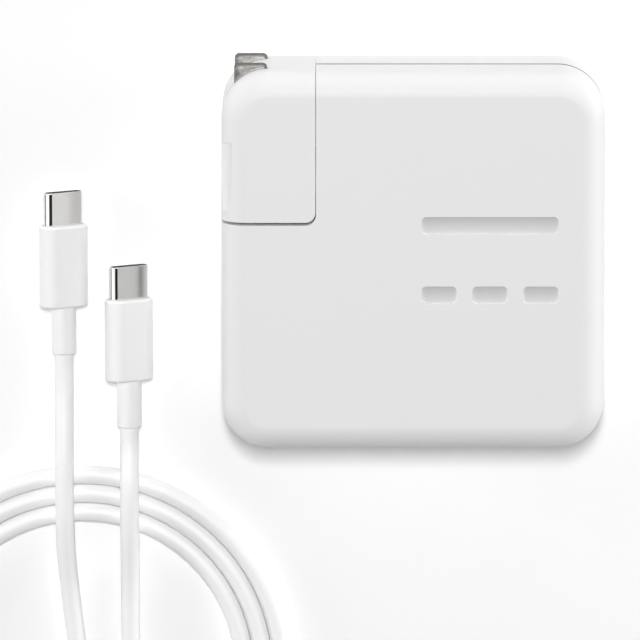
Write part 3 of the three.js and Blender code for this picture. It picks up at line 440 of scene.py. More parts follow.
# %% Outlines and lofts
def rounded(width, height, corner, centre=(0.0, 0.0), steps=10):
    """A rectangle with round corners, anticlockwise; a flat oval if corner is half its height."""
    corner = min(corner, min(width, height) / 2 - 0.01)
    points = []
    for quarter, (sx, sy) in enumerate(((1, 1), (-1, 1), (-1, -1), (1, -1))):
        cx = centre[0] + sx * (width / 2 - corner)
        cy = centre[1] + sy * (height / 2 - corner)
        for k in range(steps + 1):
            angle = math.pi / 2 * (quarter + k / steps)
            points.append((cx + corner * math.cos(angle), cy + corner * math.sin(angle)))
    return points


def oval(width, height, centre=(0.0, 0.0), steps=10):
    return rounded(width, height, height / 2 if height < width else width / 2, centre, steps)


def grown(size, each_side):
    """A width and a height, grown on all sides."""
    return (size[0] + 2 * each_side, size[1] + 2 * each_side)


def circle(radius, centre=(0.0, 0.0), sides=48):
    angles = [2 * math.pi * k / sides for k in range(sides)]
    return [(centre[0] + radius * math.cos(a), centre[1] + radius * math.sin(a)) for a in angles]


# The three axes that an outline can be pushed along, each right-handed. An outline along Y has its
# height first, and its width second.
ALONG = {
    "x": lambda u, v, w: (w, u, v),
    "y": lambda u, v, w: (v, w, u),
    "z": lambda u, v, w: (u, v, w),
}


def loft(name, layers, axis="z"):
    """Joins (outline, station) layers into a closed mesh object along an axis."""
    count = len(layers[0][0])
    points = [Vector(ALONG[axis](u, v, station)) * MM for ring, station in layers for u, v in ring]
    faces = [tuple(reversed(range(count)))]
    for level in range(len(layers) - 1):
        low, high = level * count, (level + 1) * count
        for i in range(count):
            j = (i + 1) % count
            faces.append((low + i, low + j, high + j, high + i))
    faces.append(tuple(range(len(points) - count, len(points))))
    mesh = bpy.data.meshes.new(name)
    mesh.from_pydata(points, [], faces)
    mesh.update()
    return into_scene(name, mesh)


def prism(name, ring, span, axis="z"):
    return loft(name, [(ring, span[0]), (ring, span[1])], axis)


def box(name, x, y, z):
    ring = [(x[0], y[0]), (x[1], y[0]), (x[1], y[1]), (x[0], y[1])]
    return prism(name, ring, z)


print("a circle has", len(circle(1.0)), "points")

# %% [markdown]
# Openings and pockets are cut with booleans, and the cut edges then get a narrow bevel, because no
# moulded edge is perfectly sharp and a bevel is what catches the light along a seam. Each step is
# settled into the mesh at once, so the final piece carries no modifiers that could differ later.

# %% Cutting, bevelling and shading
def settle(piece):
    """Makes what the modifiers give into the piece's own mesh."""
    graph = bpy.context.evaluated_depsgraph_get()
    mesh = bpy.data.meshes.new_from_object(piece.evaluated_get(graph))
    piece.modifiers.clear()
    old = piece.data
    piece.data = mesh
    mesh.name = piece.name
    bpy.data.meshes.remove(old)
    return piece


def combine(piece, how, *tools):
    """Cuts, keeps or joins with each tool in turn, and throws the tools away."""
    for tool in tools:
        step = piece.modifiers.new("carve", "BOOLEAN")
        step.operation = how
        step.solver = "EXACT"
        step.object = tool
        settle(piece)
        bpy.data.objects.remove(tool)
    return piece


def cut(piece, *tools):
    return combine(piece, "DIFFERENCE", *tools)


def join(piece, *tools):
    return combine(piece, "UNION", *tools)


def soften(piece, width, segments=2, angle=40):
    """A narrow bevel, in millimetres, on every edge sharper than the angle."""
    step = piece.modifiers.new("soften", "BEVEL")
    step.width = width * MM
    step.segments = segments
    step.limit_method = "ANGLE"
    step.angle_limit = math.radians(angle)
    return settle(piece)


def shade(piece, angle=38):
    """Smooth shading up to the angle, with flat faces kept flat."""
    mesh = piece.data
    mesh.polygons.foreach_set("use_smooth", [True] * len(mesh.polygons))
    mesh.set_sharp_from_angle(angle=math.radians(angle))
    step = piece.modifiers.new("even", "WEIGHTED_NORMAL")
    step.keep_sharp = True
    return settle(piece)


def dress(piece, body, slot, material, *nodes):
    """Gives a piece its finish and its body, and hides the CAD nodes it stands for; the slot is not used."""
    piece.data.materials.clear()
    piece.data.materials.append(material)
    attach(piece, body)
    if nodes:
        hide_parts(*nodes)
    return piece


def add_finish(piece, material, chosen):
    """A further finish on the faces that are chosen."""
    piece.data.materials.append(material)
    slot_number = len(piece.data.materials) - 1
    for face in piece.data.polygons:
        if chosen(face):
            face.material_index = slot_number


print("cutting helpers ready")

# %% [markdown]
# ## Case shells
# The case is two moulded halves that meet in a thin parting line, with one corner left open for the
# plug module. Both halves are cut from the same block, whose front and rear edges are rounded with
# a radius of 4.8 mm and whose corners have a radius of 9 mm. The block is a loft of rounded squares.

# %% The block that both halves are cut from
HALF = 37.0
DEPTH = 28.6
CORNER = 9.0
EDGE = 4.8
LEAST_EDGE = 0.4
WALL = 2.0
PARTING = 15.5
GAP = 0.3
MIDDLE = DEPTH / 2
FAR = 80.0


def case_outline(inset, steps):
    """The case's outline from the front, or a smaller one inside it."""
    side = 2 * (HALF - inset)
    return rounded(side, side, CORNER - inset, steps=steps)


def rounded_block(name, inset=0.0, corner_steps=16, edge_steps=12):
    """The case's outer form, or a smaller one inside it."""
    edge = max(EDGE - inset, LEAST_EDGE)
    rim = [math.pi / 2 * k / edge_steps for k in range(edge_steps + 1)]
    steps = [(edge * (1 - math.cos(a)), inset + edge - edge * math.sin(a)) for a in rim]
    stations = list(reversed(steps)) + [(shrink, DEPTH - height) for shrink, height in steps]
    return loft(name, [(case_outline(inset + shrink, corner_steps), z) for shrink, z in stations])


print("case block:", 2 * HALF, "x", 2 * HALF, "x", DEPTH, "mm")

# %% [markdown]
# The open corner is a prism with one round inner corner. Grown by a wall's thickness it shapes the
# inside of the shells, and shrunk by a seam's width it shapes the plug module that fills it.

# %% The open corner
NOTCH_SIDE = -18.8
NOTCH_FLOOR = 7.425
NOTCH_ROUND = 2.1


def corner_outline(right, floor, radius, steps=12):
    """An outline that runs on to the left and the top, with one round corner at its lower right."""
    ring = [(-FAR, floor)]
    for k in range(steps + 1):
        angle = math.pi / 2 * (k / steps - 1)
        ring.append((right - radius + radius * math.cos(angle), floor + radius + radius * math.sin(angle)))
    return ring + [(right, FAR), (-FAR, FAR)]


def corner_prism(name, grow, floor_grow=None):
    """The corner that belongs to the plug module, grown outwards at its side and at its floor."""
    floor = NOTCH_FLOOR - (grow if floor_grow is None else floor_grow)
    return prism(name, corner_outline(NOTCH_SIDE + grow, floor, NOTCH_ROUND + grow), (-FAR, FAR))


print("open corner starts at x", NOTCH_SIDE, "and y", NOTCH_FLOOR)

# %% [markdown]
# Three holes pass the shells' walls: the round-ended socket hole in the right side, the inlet's hole
# in the floor of the open corner, and the lock stud's hole in its side. The front half also gets
# the pressed-in mark: a bar over three dashes, the common sign for direct current.

# %% Holes and strokes
INLET_X = (NOTCH_SIDE - HALF) / 2
INLET_LINE = (MIDDLE, INLET_X)
BOSS = (15.2, 6.6)
CUP_WALL = 1.2
STUD_Y = NOTCH_FLOOR + 12.0
STUD_LINE = (STUD_Y, MIDDLE)
STUD_HOLE = 1.5
PORT = (8.34, 2.56)
PORT_LINE = (0.0, PARTING)
PORT_WALL = 0.3
CUT_IN = 8.0
CUT_OUT = 1.0


def wall_holes():
    """Cutters for the socket, the inlet and the lock stud."""
    port_ring = oval(*grown(PORT, PORT_WALL + GAP), PORT_LINE)
    cup_ring = oval(*grown(BOSS, 2 * GAP + CUP_WALL), INLET_LINE)
    stud_x = (NOTCH_SIDE - CUT_OUT, NOTCH_SIDE + CUT_IN)
    return [
        prism("port_hole", port_ring, (HALF - CUT_IN, HALF + CUT_OUT), "x"),
        prism("cup_hole", cup_ring, (NOTCH_FLOOR - CUT_IN, NOTCH_FLOOR + CUT_OUT), "y"),
        prism("stud_hole", circle(STUD_HOLE, STUD_LINE), stud_x, "x"),
    ]


def mark_strokes():
    """The middle and the length of the bar and of the three dashes."""
    top = MARK_CENTRE[1] + MARK_PITCH / 2
    dash = MARK_LENGTH * DASH_SHARE
    step = (MARK_LENGTH - dash) / 2
    strokes = [(MARK_CENTRE[0], top, MARK_LENGTH)]
    strokes += [(MARK_CENTRE[0] + k * step, top - MARK_PITCH, dash) for k in (-1, 0, 1)]
    return strokes


print("strokes:", len(mark_strokes()))

# %% [markdown]
# A half is made in this order: cut the block at the parting line, cut the open corner, the holes and
# the strokes, bevel those edges, and only then hollow it out, so that the bevel meets clean edges.

# %% Front half
PARTING_BEVEL = 0.3
SEAM_BEVEL = 0.18
SLACK = 0.01
FLOOR_SLACK = 0.05
NOT_UPRIGHT = 0.3
FACING_UP = 0.9


def in_groove(face):
    """True for the faces between the halves and their bevels, but not for the sides."""
    height = abs(face.center.z / MM - PARTING)
    return abs(face.normal.z) > NOT_UPRIGHT and GAP / 2 - SLACK < height < GAP / 2 + PARTING_BEVEL


def in_mark(face):
    """True for the floors of the strokes."""
    return abs(face.center.z / MM - (DEPTH - MARK_DEPTH)) < FLOOR_SLACK and face.normal.z > FACING_UP


def hollow(name):
    """The space inside the walls."""
    block = rounded_block(name, WALL, corner_steps=6, edge_steps=5)
    return cut(block, corner_prism("inner_corner", WALL))


front = rounded_block("case_front")
cut(front, box("under", (-FAR, FAR), (-FAR, FAR), (-FAR, PARTING + GAP / 2)))
soften(front, PARTING_BEVEL)
cut(front, corner_prism("open_corner", 0.0), *wall_holes())
for number, (x, y, length) in enumerate(mark_strokes()):
    ring = rounded(length, MARK_STROKE, MARK_ROUND, (x, y), steps=5)
    cut(front, prism(f"stroke_{number}", ring, (DEPTH - MARK_DEPTH, DEPTH + CUT_OUT)))
soften(front, SEAM_BEVEL)
cut(front, hollow("front_hollow"))
shade(front)
dress(front, "adapter", "case_plastic", satin_polycarbonate, "front_shell")
# Painted shade on the stroke floors, grey at their tops.
add_finish(front, mark_painted_shade, in_mark)
# Painted shade: the groove faces get the dark resin, where light hardly reaches.
add_finish(front, groove_painted_shade, in_groove)
print("front half:", len(front.data.polygons), "faces")

# %% [markdown]
# The rear half carries a lip that stands inside the front half, so nothing shows through the parting
# line, and three posts that hold the main board.

# %% Rear half
LIP_FOOT = 12.5
LIP_TOP = 17.3
LIP_THICKNESS = 1.0
LIP_OVERLAP = 0.2
PLATE_ROOM = 5.8
POST_RADIUS = 2.0
POST_TOP = 5.7
POST_PLACES = ((28.0, 28.0), (28.0, -28.0), (-28.0, -28.0))


def lip_ring(inset, top):
    """A ring that follows the wall's inside, open where the stud's plate lies."""
    rings = []
    inner_inset = WALL + GAP + LIP_THICKNESS
    for name, shrink, span in (("lip", inset, (LIP_FOOT, top)), ("bore", inner_inset, (0, FAR))):
        ring = prism(name, case_outline(shrink, 8), span)
        rings.append(cut(ring, corner_prism("corner", shrink)))
    plate_x = (NOTCH_SIDE + WALL, NOTCH_SIDE + CUT_IN)
    plate_gap = box("plate_gap", plate_x, (STUD_Y - PLATE_ROOM, STUD_Y + PLATE_ROOM), (-FAR, FAR))
    return cut(rings[0], rings[1], plate_gap, *wall_holes())


rear = rounded_block("case_rear")
cut(rear, box("over", (-FAR, FAR), (-FAR, FAR), (PARTING - GAP / 2, FAR)))
soften(rear, PARTING_BEVEL)
cut(rear, corner_prism("open_corner", 0.0), *wall_holes())
soften(rear, SEAM_BEVEL)
cut(rear, hollow("rear_hollow"))
lip_foot = lip_ring(WALL / 2, PARTING - GAP / 2 - LIP_OVERLAP)
join(rear, lip_foot, lip_ring(WALL + GAP, LIP_TOP))
posts = [prism("post", circle(POST_RADIUS, place, 24), (WALL / 2, POST_TOP)) for place in POST_PLACES]
join(rear, *posts)
shade(rear)
dress(rear, "adapter", "case_plastic", satin_polycarbonate, "rear_shell")
# Painted shade: the groove faces get the dark resin, where light hardly reaches.
add_finish(rear, groove_painted_shade, in_groove)
print("rear half:", len(rear.data.polygons), "faces")

# %% [markdown]
# ## Plug module
# The module is its own moulded shell: the same block, kept only inside the open corner less a narrow
# gap. The gap is finer at the side than at the foot, as on the real one, where it draws the seam. Two
# slots let the blades swing from folded, pointing up, to unfolded, pointing left. A T-shaped slot in
# its inner side slides over the lock stud, and its foot is open for the boss that sits in the inlet.

# %% Slots for blades, boss and stud
PIVOT = (-31.425, 14.725)
BLADE = (6.35, 1.5)
BLADE_SPACING = 12.7
BLADE_HEIGHTS = {"near": MIDDLE + BLADE_SPACING / 2, "far": MIDDLE - BLADE_SPACING / 2}
SLOT_GAP = 0.4
MODULE_WALL = 1.8
MODULE_FLOOR = NOTCH_FLOOR + GAP
SHOWN_SIDE_GAP = 0.12
SHOWN_FOOT_GAP = 0.56
STUD_HEAD_X = (NOTCH_SIDE - 3.2, NOTCH_SIDE - 2.0)
STUD_RADII = {"stem": 1.8, "head": 3.4, "tail": 1.2}


def blade_slot(name, z):
    """The space that a blade sweeps, open at the side and at the top."""
    reach = BLADE[0] / 2 + SLOT_GAP
    half = BLADE[1] / 2 + SLOT_GAP
    ring = corner_outline(PIVOT[0] + reach, PIVOT[1] - reach, reach)
    return prism(name, ring, (z - half, z + half))


def stud_slot():
    """The T-shaped slot that the lock stud passes up, with a round end."""
    neck = (STUD_HEAD_X[1] - GAP, NOTCH_SIDE + CUT_OUT)
    head = (STUD_HEAD_X[0] - GAP, STUD_HEAD_X[1] + GAP)
    parts = []
    for radius, x in ((STUD_RADII["stem"], neck), (STUD_RADII["head"], head)):
        half = radius + GAP
        parts.append(box("slot", x, (NOTCH_FLOOR - CUT_OUT, STUD_Y), (MIDDLE - half, MIDDLE + half)))
        parts.append(prism("slot_end", circle(half, STUD_LINE), x, "x"))
    return parts


print("blade middles at z", BLADE_HEIGHTS)

# %% [markdown]
# A scoop in the module's outer front edge lets a fingernail reach the blades. It stops at a ledge at
# its upper end, and runs out at its lower end. A blunt half ellipsoid cuts it: a stack of ever wider
# circles, whose middle line runs outside the rounded edge. A small power keeps the stack wide almost
# to its end, so the scoop keeps its depth and then runs out quickly.

# %% Module shell
SCOOP_RADIUS = 4.5
SCOOP_LENGTH = 13.6
SCOOP_DEPTH = 0.9
SCOOP_BLUNTNESS = 0.12
SCOOP_TURN = math.radians(30)
SCOOP_END = PIVOT[1] + 8.6


def scoop(steps=24):
    """Half of a blunt ellipsoid that ends at the scoop's ledge."""
    offset = EDGE - SCOOP_DEPTH + SCOOP_RADIUS
    centre = (DEPTH - EDGE + offset * math.sin(SCOOP_TURN), EDGE - HALF - offset * math.cos(SCOOP_TURN))
    stations = []
    for k in range(1, steps + 1):
        angle = math.pi / 2 * (k / steps - 1)
        radius = SCOOP_RADIUS * math.cos(angle) ** SCOOP_BLUNTNESS
        stations.append((SCOOP_END + SCOOP_LENGTH * math.sin(angle), radius))
    layers = [(circle(radius, centre, 64), station) for station, radius in stations]
    return loft("scoop", layers, "y")


module = rounded_block("plug_module")
combine(module, "INTERSECT", corner_prism("corner_fill", -SHOWN_SIDE_GAP, -SHOWN_FOOT_GAP))
cut(module, *[blade_slot("slot_" + side, z) for side, z in BLADE_HEIGHTS.items()])
cut(module, scoop())
soften(module, SEAM_BEVEL)
module_space = rounded_block("module_space", MODULE_WALL, corner_steps=6, edge_steps=5)
cut(module_space, box("floor", (-FAR, FAR), (-FAR, MODULE_FLOOR + MODULE_WALL), (-FAR, FAR)))
boss_ring = oval(*grown(BOSS, GAP), INLET_LINE)
boss_span = (MODULE_FLOOR - CUT_OUT, MODULE_FLOOR + MODULE_WALL + CUT_OUT)
boss_hole = prism("boss_hole", boss_ring, boss_span, "y")
cut(module, module_space, boss_hole, *stud_slot())
shade(module)
dress(module, "plug_module", "case_plastic", satin_polycarbonate, "plug_housing")
print("module shell:", len(module.data.polygons), "faces")

# %% [markdown]
# ## Mains blades and their barrel
# Each blade is stamped from strip: its tip has clipped corners and a lead-in on both faces, its edges are
# slightly rounded by the press and a round hole goes through near the tip. A narrower root goes into the
# moulded barrel that both blades turn with. The lead-in and the edge rounding draw the dark line round a
# blade, so they are modelled, and they wear the rougher finish of a sheared edge with painted shade, which
# darkens that line. The lead-in meets the flat at 27 degrees, so this shading keeps a crease from 24 degrees
# on.

# %% Blades
TIP = 38.0
SHOULDER = 3.5
ROOT = (3.4, 2.5)
TIP_CHAMFER = 0.5
LEAD_IN = (0.6, 0.3)
HOLE_RADIUS = 1.6
HOLE_INSET = 5.3
BLADE_ROUND = 0.28
LEAD_IN_CREASE = 24
DEAD_FLAT = 0.999


def blade_outline(tip):
    """The blade's outline, with its root, up to the given tip."""
    x, y = PIVOT
    w, r, s = BLADE[0] / 2, ROOT[0] / 2, y + SHOULDER
    return [
        (x - r, y - ROOT[1]), (x + r, y - ROOT[1]), (x + r, s), (x + w, s),
        (x + w, tip - TIP_CHAMFER), (x + w - TIP_CHAMFER, tip), (x - w + TIP_CHAMFER, tip),
        (x - w, tip - TIP_CHAMFER), (x - w, s), (x - r, s),
    ]


def blade(side):
    """One blade; all but its two flat faces wear the sheared finish with painted shade."""
    z = BLADE_HEIGHTS[side]
    low, high = z - BLADE[1] / 2, z + BLADE[1] / 2
    full, short = blade_outline(TIP), blade_outline(TIP - LEAD_IN[0])
    layers = [(short, low), (full, low + LEAD_IN[1]), (full, high - LEAD_IN[1]), (short, high)]
    made = loft("mains_blade_" + side, layers)
    hole_ring = circle(HOLE_RADIUS, (PIVOT[0], TIP - HOLE_INSET))
    hole = prism("hole", hole_ring, (low - CUT_OUT, high + CUT_OUT))
    soften(cut(made, hole), BLADE_ROUND, segments=4, angle=30)
    dress(shade(made, LEAD_IN_CREASE), "blades", "blade_nickel", blade_nickel, "blade_" + side)
    # Painted shade: every face that is not dead flat wears the darker sheared finish, which also keeps the
    # blade's corner from catching a glint.
    add_finish(made, sheared_edge_painted_shade, lambda face: abs(face.normal.z) < DEAD_FLAT)
    return made


for side in BLADE_HEIGHTS:
    blade(side)
print("blade reach past the case, mm:", TIP - HALF)

# %% [markdown]
# The barrel is moulded: a cylinder with a journal at each end, and a pocket for each blade's root.
# Rings of points at the edges' roundings give it crisp but not knife-sharp ends.

# %% Barrel
BARREL_RADIUS = 3.2
BARREL_END = 2.4
JOURNAL = (1.5, 1.2)


def turned(name, axis, centre, stations, sides=48):
    """A round piece along an axis from (station, radius) pairs."""
    return loft(name, [(circle(radius, centre, sides), station) for station, radius in stations], axis)


def with_rims(low, high, radius, rim=0.15, steps=4):
    """Stations of a cylinder whose two edges are rounded."""
    turn = [math.pi / 2 * k / steps for k in range(steps + 1)]
    start = [(low + rim * (1 - math.sin(a)), radius - rim * (1 - math.cos(a))) for a in reversed(turn)]
    end = [(high - rim * (1 - math.sin(a)), radius - rim * (1 - math.cos(a))) for a in turn]
    return start + end


barrel_span = (BLADE_HEIGHTS["far"] - BARREL_END, BLADE_HEIGHTS["near"] + BARREL_END)
journal_span = (barrel_span[0] - JOURNAL[1], barrel_span[1] + JOURNAL[1])
barrel = turned("blade_barrel", "z", PIVOT, with_rims(*barrel_span, BARREL_RADIUS))
join(barrel, turned("journals", "z", PIVOT, with_rims(*journal_span, JOURNAL[0], 0.1)))
for z in BLADE_HEIGHTS.values():
    pocket = box(
        "pocket",
        (PIVOT[0] - ROOT[0] / 2 - GAP, PIVOT[0] + ROOT[0] / 2 + GAP),
        (PIVOT[1] - ROOT[1] - GAP, FAR),
        (z - BLADE[1] / 2 - GAP, z + BLADE[1] / 2 + GAP),
    )
    cut(barrel, pocket)
dress(shade(barrel), "blades", "black_plastic", black_polyester, "blade_rotor")
print("barrel:", len(barrel.data.polygons), "faces")

# %% [markdown]
# ## Inlet, lock stud and output socket
# With the module off, the inlet's cup with its two pins and the lock stud come into view. The output
# socket in the right side is a drawn metal oval with a thin tongue, which carries its gold-flashed
# contacts on both faces. The contacts are separate slivers, half a millimetre apart.

# %% Inlet and stud
PIN_SPACING = 8.6
PIN_RADIUS = 1.2
BOSS_END = MODULE_FLOOR - 7.8
CUP = (BOSS_END - GAP - 1.5, BOSS_END - GAP)
PIN = (CUP[0] - 2.3, NOTCH_FLOOR - 1.4)
COLLAR = (CUP[0] - GAP - 0.6, CUP[0] - GAP)
PIN_ROUND = 0.5
COLLAR_ROUND = 0.1
CUP_BEVEL = 0.15
HEAD_ROUND = 0.25
STEM_START = STUD_HEAD_X[0] + 0.4
TAIL_END = NOTCH_SIDE + 4.5

cup_ring = oval(*grown(BOSS, GAP + CUP_WALL), INLET_LINE, 16)
cup = prism("inlet_cup", cup_ring, (CUP[0], NOTCH_FLOOR), "y")
bore_ring = oval(*grown(BOSS, GAP), INLET_LINE, 16)
cut(cup, prism("bore", bore_ring, (CUP[1], NOTCH_FLOOR + CUT_OUT), "y"))
for side, offset in (("near", PIN_SPACING / 2), ("far", -PIN_SPACING / 2)):
    centre = (MIDDLE + offset, INLET_X)
    hole = [(CUP[0] - CUT_OUT, PIN_RADIUS + GAP), (CUP[1] + CUT_OUT, PIN_RADIUS + GAP)]
    cut(cup, turned("pin_hole", "y", centre, hole))
    pin = turned("inlet_contact_" + side, "y", centre, with_rims(*PIN, PIN_RADIUS, PIN_ROUND))
    collar = with_rims(*COLLAR, PIN_RADIUS + 2 * GAP, COLLAR_ROUND)
    join(pin, turned("collar", "y", centre, collar))
    dress(shade(pin), "adapter", "nickel", bright_nickel, "inlet_pin_" + side)
soften(cup, CUP_BEVEL)
dress(shade(cup), "adapter", "black_plastic", black_polyester, "inlet_housing")

stud = turned("case_lock_stud", "x", STUD_LINE, with_rims(*STUD_HEAD_X, STUD_RADII["head"], HEAD_ROUND))
stem = turned("stem", "x", STUD_LINE, with_rims(STEM_START, NOTCH_SIDE - GAP, STUD_RADII["stem"]))
tail = turned("tail", "x", STUD_LINE, with_rims(STUD_HEAD_X[1], TAIL_END, STUD_RADII["tail"]))
join(stud, stem, tail)
# The stud wears the darkened nickel, painted shade that keeps a glint out of the seam.
dress(shade(stud), "adapter", "nickel", barrel_nickel_painted_shade, "lock_stud")
print("inlet cup from y", round(CUP[0], 3), "to", NOTCH_FLOOR)

# %% Output socket
PORT_END = HALF - 0.2
PORT_BACK = PORT_END - 7.0
PORT_ROUND = 0.14
PORT_FLARE = 0.2
TONGUE = (6.7, 0.7)
TONGUE_SPAN = (PORT_BACK + 1.0, PORT_BACK + 6.0)
BASE_SPAN = (PORT_BACK + PORT_WALL + GAP, PORT_BACK + 1.6)
TONGUE_BEVEL = 0.08


def oval_stack(name, axis, centre, stations, steps=12):
    """A flat-oval piece from (station, width, height) triples."""
    return loft(name, [(oval(w, h, centre, steps), station) for station, w, h in stations], axis)


def oval_rims(low, high, width, height, rim):
    """Stations of a flat-oval piece whose two ends are rounded."""
    cuts = [(station, 2 * (rim - radius)) for station, radius in with_rims(low, high, rim, rim)]
    return [(station, width - less, height - less) for station, less in cuts]


port_rims = oval_rims(PORT_BACK, PORT_END, *grown(PORT, PORT_WALL), PORT_ROUND)
port = oval_stack("port_shell", "x", PORT_LINE, port_rims)
port_bore = [
    (PORT_BACK + PORT_WALL, *PORT), (PORT_END - PORT_FLARE, *PORT),
    (PORT_END + PORT_FLARE / 2, *grown(PORT, PORT_FLARE)),
]
cut(port, oval_stack("port_bore", "x", PORT_LINE, port_bore))
dress(shade(port), "adapter", "nickel", bright_nickel, "socket_shell")

tongue_faces = (PARTING - TONGUE[1] / 2, PARTING + TONGUE[1] / 2)
tongue = box("port_tongue", TONGUE_SPAN, (-TONGUE[0] / 2, TONGUE[0] / 2), tongue_faces)
tongue_base = [(station, *grown(PORT, -GAP)) for station in BASE_SPAN]
join(tongue, oval_stack("base", "x", PORT_LINE, tongue_base))
soften(tongue, TONGUE_BEVEL)
dress(shade(tongue), "adapter", "black_plastic", black_polyester, "socket_tongue")
print("socket from x", round(PORT_BACK, 2), "to", PORT_END)

# %% Contacts
SLIVER_BEVEL = 0.02
CONTACT_PITCH = 0.5
CONTACT_WIDTH = 0.28
CONTACT_RISE = 0.03
CONTACT_SPAN = (PORT_BACK + 1.7, TONGUE_SPAN[1] - 0.5)


def slivers(name, boxes, turn=Matrix.Identity(4)):
    """Many small contacts as one mesh of separate bevelled bars."""
    points, faces = [], []
    for x, y, z in boxes:
        first = len(points)
        points += [turn @ (Vector((a, b, c)) * MM) for c in z for b in y for a in x]
        for quad in ((0, 2, 3, 1), (4, 5, 7, 6), (0, 1, 5, 4), (2, 6, 7, 3), (0, 4, 6, 2), (1, 3, 7, 5)):
            faces.append(tuple(first + corner for corner in quad))
    mesh = bpy.data.meshes.new(name)
    mesh.from_pydata(points, [], faces)
    mesh.update()
    return soften(into_scene(name, mesh), SLIVER_BEVEL, segments=1)


contact_rows = [(k - 5.5) * CONTACT_PITCH for k in range(12)]
port_contacts = []
for y in contact_rows:
    across = (y - CONTACT_WIDTH / 2, y + CONTACT_WIDTH / 2)
    for z in reversed(tongue_faces):
        port_contacts.append((CONTACT_SPAN, across, (z - CONTACT_RISE, z + CONTACT_RISE)))
dress(slivers("port_contacts", port_contacts), "adapter", "brass", gold_flash)
print("socket contacts:", len(port_contacts))

# %% [markdown]
# ## The lead's two connectors
# Both connectors are the same flat-oval kind and lie rolled by 28 degrees, so the camera sees their
# broad side and one round edge. A connector has a drawn metal shell, a black liner with contacts on
# both inner faces, a moulded grip and a sleeve that guides the cord. All are built along the cord's
# axis from the sleeve's end, with each section's height first and its width second, and are then
# rolled and set down by one matrix.

# %% Parts of a connector
SHELL = (2.4, 8.25)
SHELL_WALL = 0.3
SHELL_ROUND = 0.12
GRIP = (5.9, 9.9)
GRIP_ROUND = 0.5
SLEEVE_RADIUS = 2.42
SLEEVE_LENGTH = 9.5
SLEEVE_ROOT = 1.7
SLEEVE_ROUND = 0.35
SLEEVE_BORE = 1.2
SNUG = 0.06
SHELL_FIT = 0.125
LINER_FIT = 0.05
MOUTH = (0.9, 6.8)
GRIP_END = SLEEVE_LENGTH + 16.2
SHELL_HOLE = GRIP_END - 3.0
SHELL_START = SHELL_HOLE + GAP
SHELL_TIP = GRIP_END + 6.5
LINER_SPAN = (SHELL_START + 2 * SHELL_WALL, SHELL_TIP - 0.5)
MOUTH_SPAN = (SHELL_TIP - 5.5, SHELL_TIP)
AXIS = (0, 0)


def sleeve(letter):
    """The round sleeve, open where the cord comes in."""
    rims = with_rims(0, SLEEVE_LENGTH + SLEEVE_ROOT, SLEEVE_RADIUS, SLEEVE_ROUND)
    made = turned("cord_sleeve_" + letter, "y", AXIS, rims)
    bore = [(station, CORD_AXIS + SNUG) for station in (-CUT_OUT, SLEEVE_BORE)]
    return cut(made, turned("bore", "y", AXIS, bore))


def grip(letter):
    """The moulded grip, with a hole at each end."""
    rims = oval_rims(SLEEVE_LENGTH, GRIP_END, *GRIP, GRIP_ROUND)
    made = oval_stack("grip_" + letter, "y", AXIS, rims, 16)
    hole_span = (SLEEVE_LENGTH - CUT_OUT, SLEEVE_LENGTH + SLEEVE_ROOT + GAP)
    hole = [(station, SLEEVE_RADIUS + 2 * SNUG) for station in hole_span]
    shell_hole = [(station, *grown(SHELL, SHELL_FIT)) for station in (SHELL_HOLE, GRIP_END + CUT_OUT)]
    cutters = (turned("hole", "y", AXIS, hole), oval_stack("shell_hole", "y", AXIS, shell_hole))
    return cut(made, *cutters)


def drawn_shell(letter):
    """The metal shell, closed at its root and open at its tip."""
    rims = oval_rims(SHELL_START, SHELL_TIP, *SHELL, SHELL_ROUND)
    made = oval_stack("drawn_shell_" + letter, "y", AXIS, rims, 16)
    bore_span = (SHELL_START + SHELL_WALL, SHELL_TIP + CUT_OUT)
    bore = [(station, *grown(SHELL, -SHELL_WALL)) for station in bore_span]
    return cut(made, oval_stack("bore", "y", AXIS, bore, 16))


def liner(letter):
    """The black liner of the shell, with a flat mouth that the contacts stand in."""
    body = [(station, *grown(SHELL, -SHELL_WALL - LINER_FIT)) for station in LINER_SPAN]
    made = oval_stack("liner_" + letter, "y", AXIS, body, 16)
    mouth = [(station, *MOUTH) for station in MOUTH_SPAN]
    return cut(made, oval_stack("mouth", "y", AXIS, mouth))


print("connector length, mm:", SHELL_TIP)

# %% Both connectors
ROLL = math.radians(28)
BAR_SPAN = (SHELL_TIP - 4.6, SHELL_TIP - 0.9)
BAR_WIDTH = 0.26
BAR_RISE = 0.05
CONNECTOR_PARTS = {
    # The sleeve and the grip wear the lighter resin, painted light.
    "strain_relief": (sleeve, "case_plastic", smooth_polycarbonate_painted_light),
    "housing": (grip, "case_plastic", smooth_polycarbonate_painted_light),
    "shell": (drawn_shell, "nickel", bright_nickel),
    "insert": (liner, "black_plastic", black_polyester),
}


def connector(letter, end):
    """The four pieces and the contacts of one connector, from its sleeve's end."""
    seat = Vector((end[0], end[1] + JOIN_GAP, end[2])) * MM
    turn = Matrix.Translation(seat) @ Matrix.Rotation(ROLL, 4, "Y")
    pieces = []
    for part, (make, slot, material) in CONNECTOR_PARTS.items():
        piece = make(letter)
        piece.data.transform(turn)
        pieces.append(dress(shade(piece), "adapter", slot, material, f"plug_{letter}_{part}"))
    bars = []
    for x in contact_rows:
        for z in (MOUTH[0] / 2, -MOUTH[0] / 2):
            across = (x - BAR_WIDTH / 2, x + BAR_WIDTH / 2)
            bars.append((across, BAR_SPAN, (z - BAR_RISE, z + BAR_RISE)))
    contacts = slivers("liner_contacts_" + letter, bars, turn)
    return pieces + [dress(contacts, "adapter", "brass", gold_flash)]


plug_pieces = connector("a", lead_a[0]) + connector("b", lead_b[-1])
print("connector pieces:", len(plug_pieces))

# %% [markdown]
# ## The cord
# A curve with a round bevel is the natural way to make a cord: its own line is the centre line, so
# its length is measured exactly, and its thickness is one number.

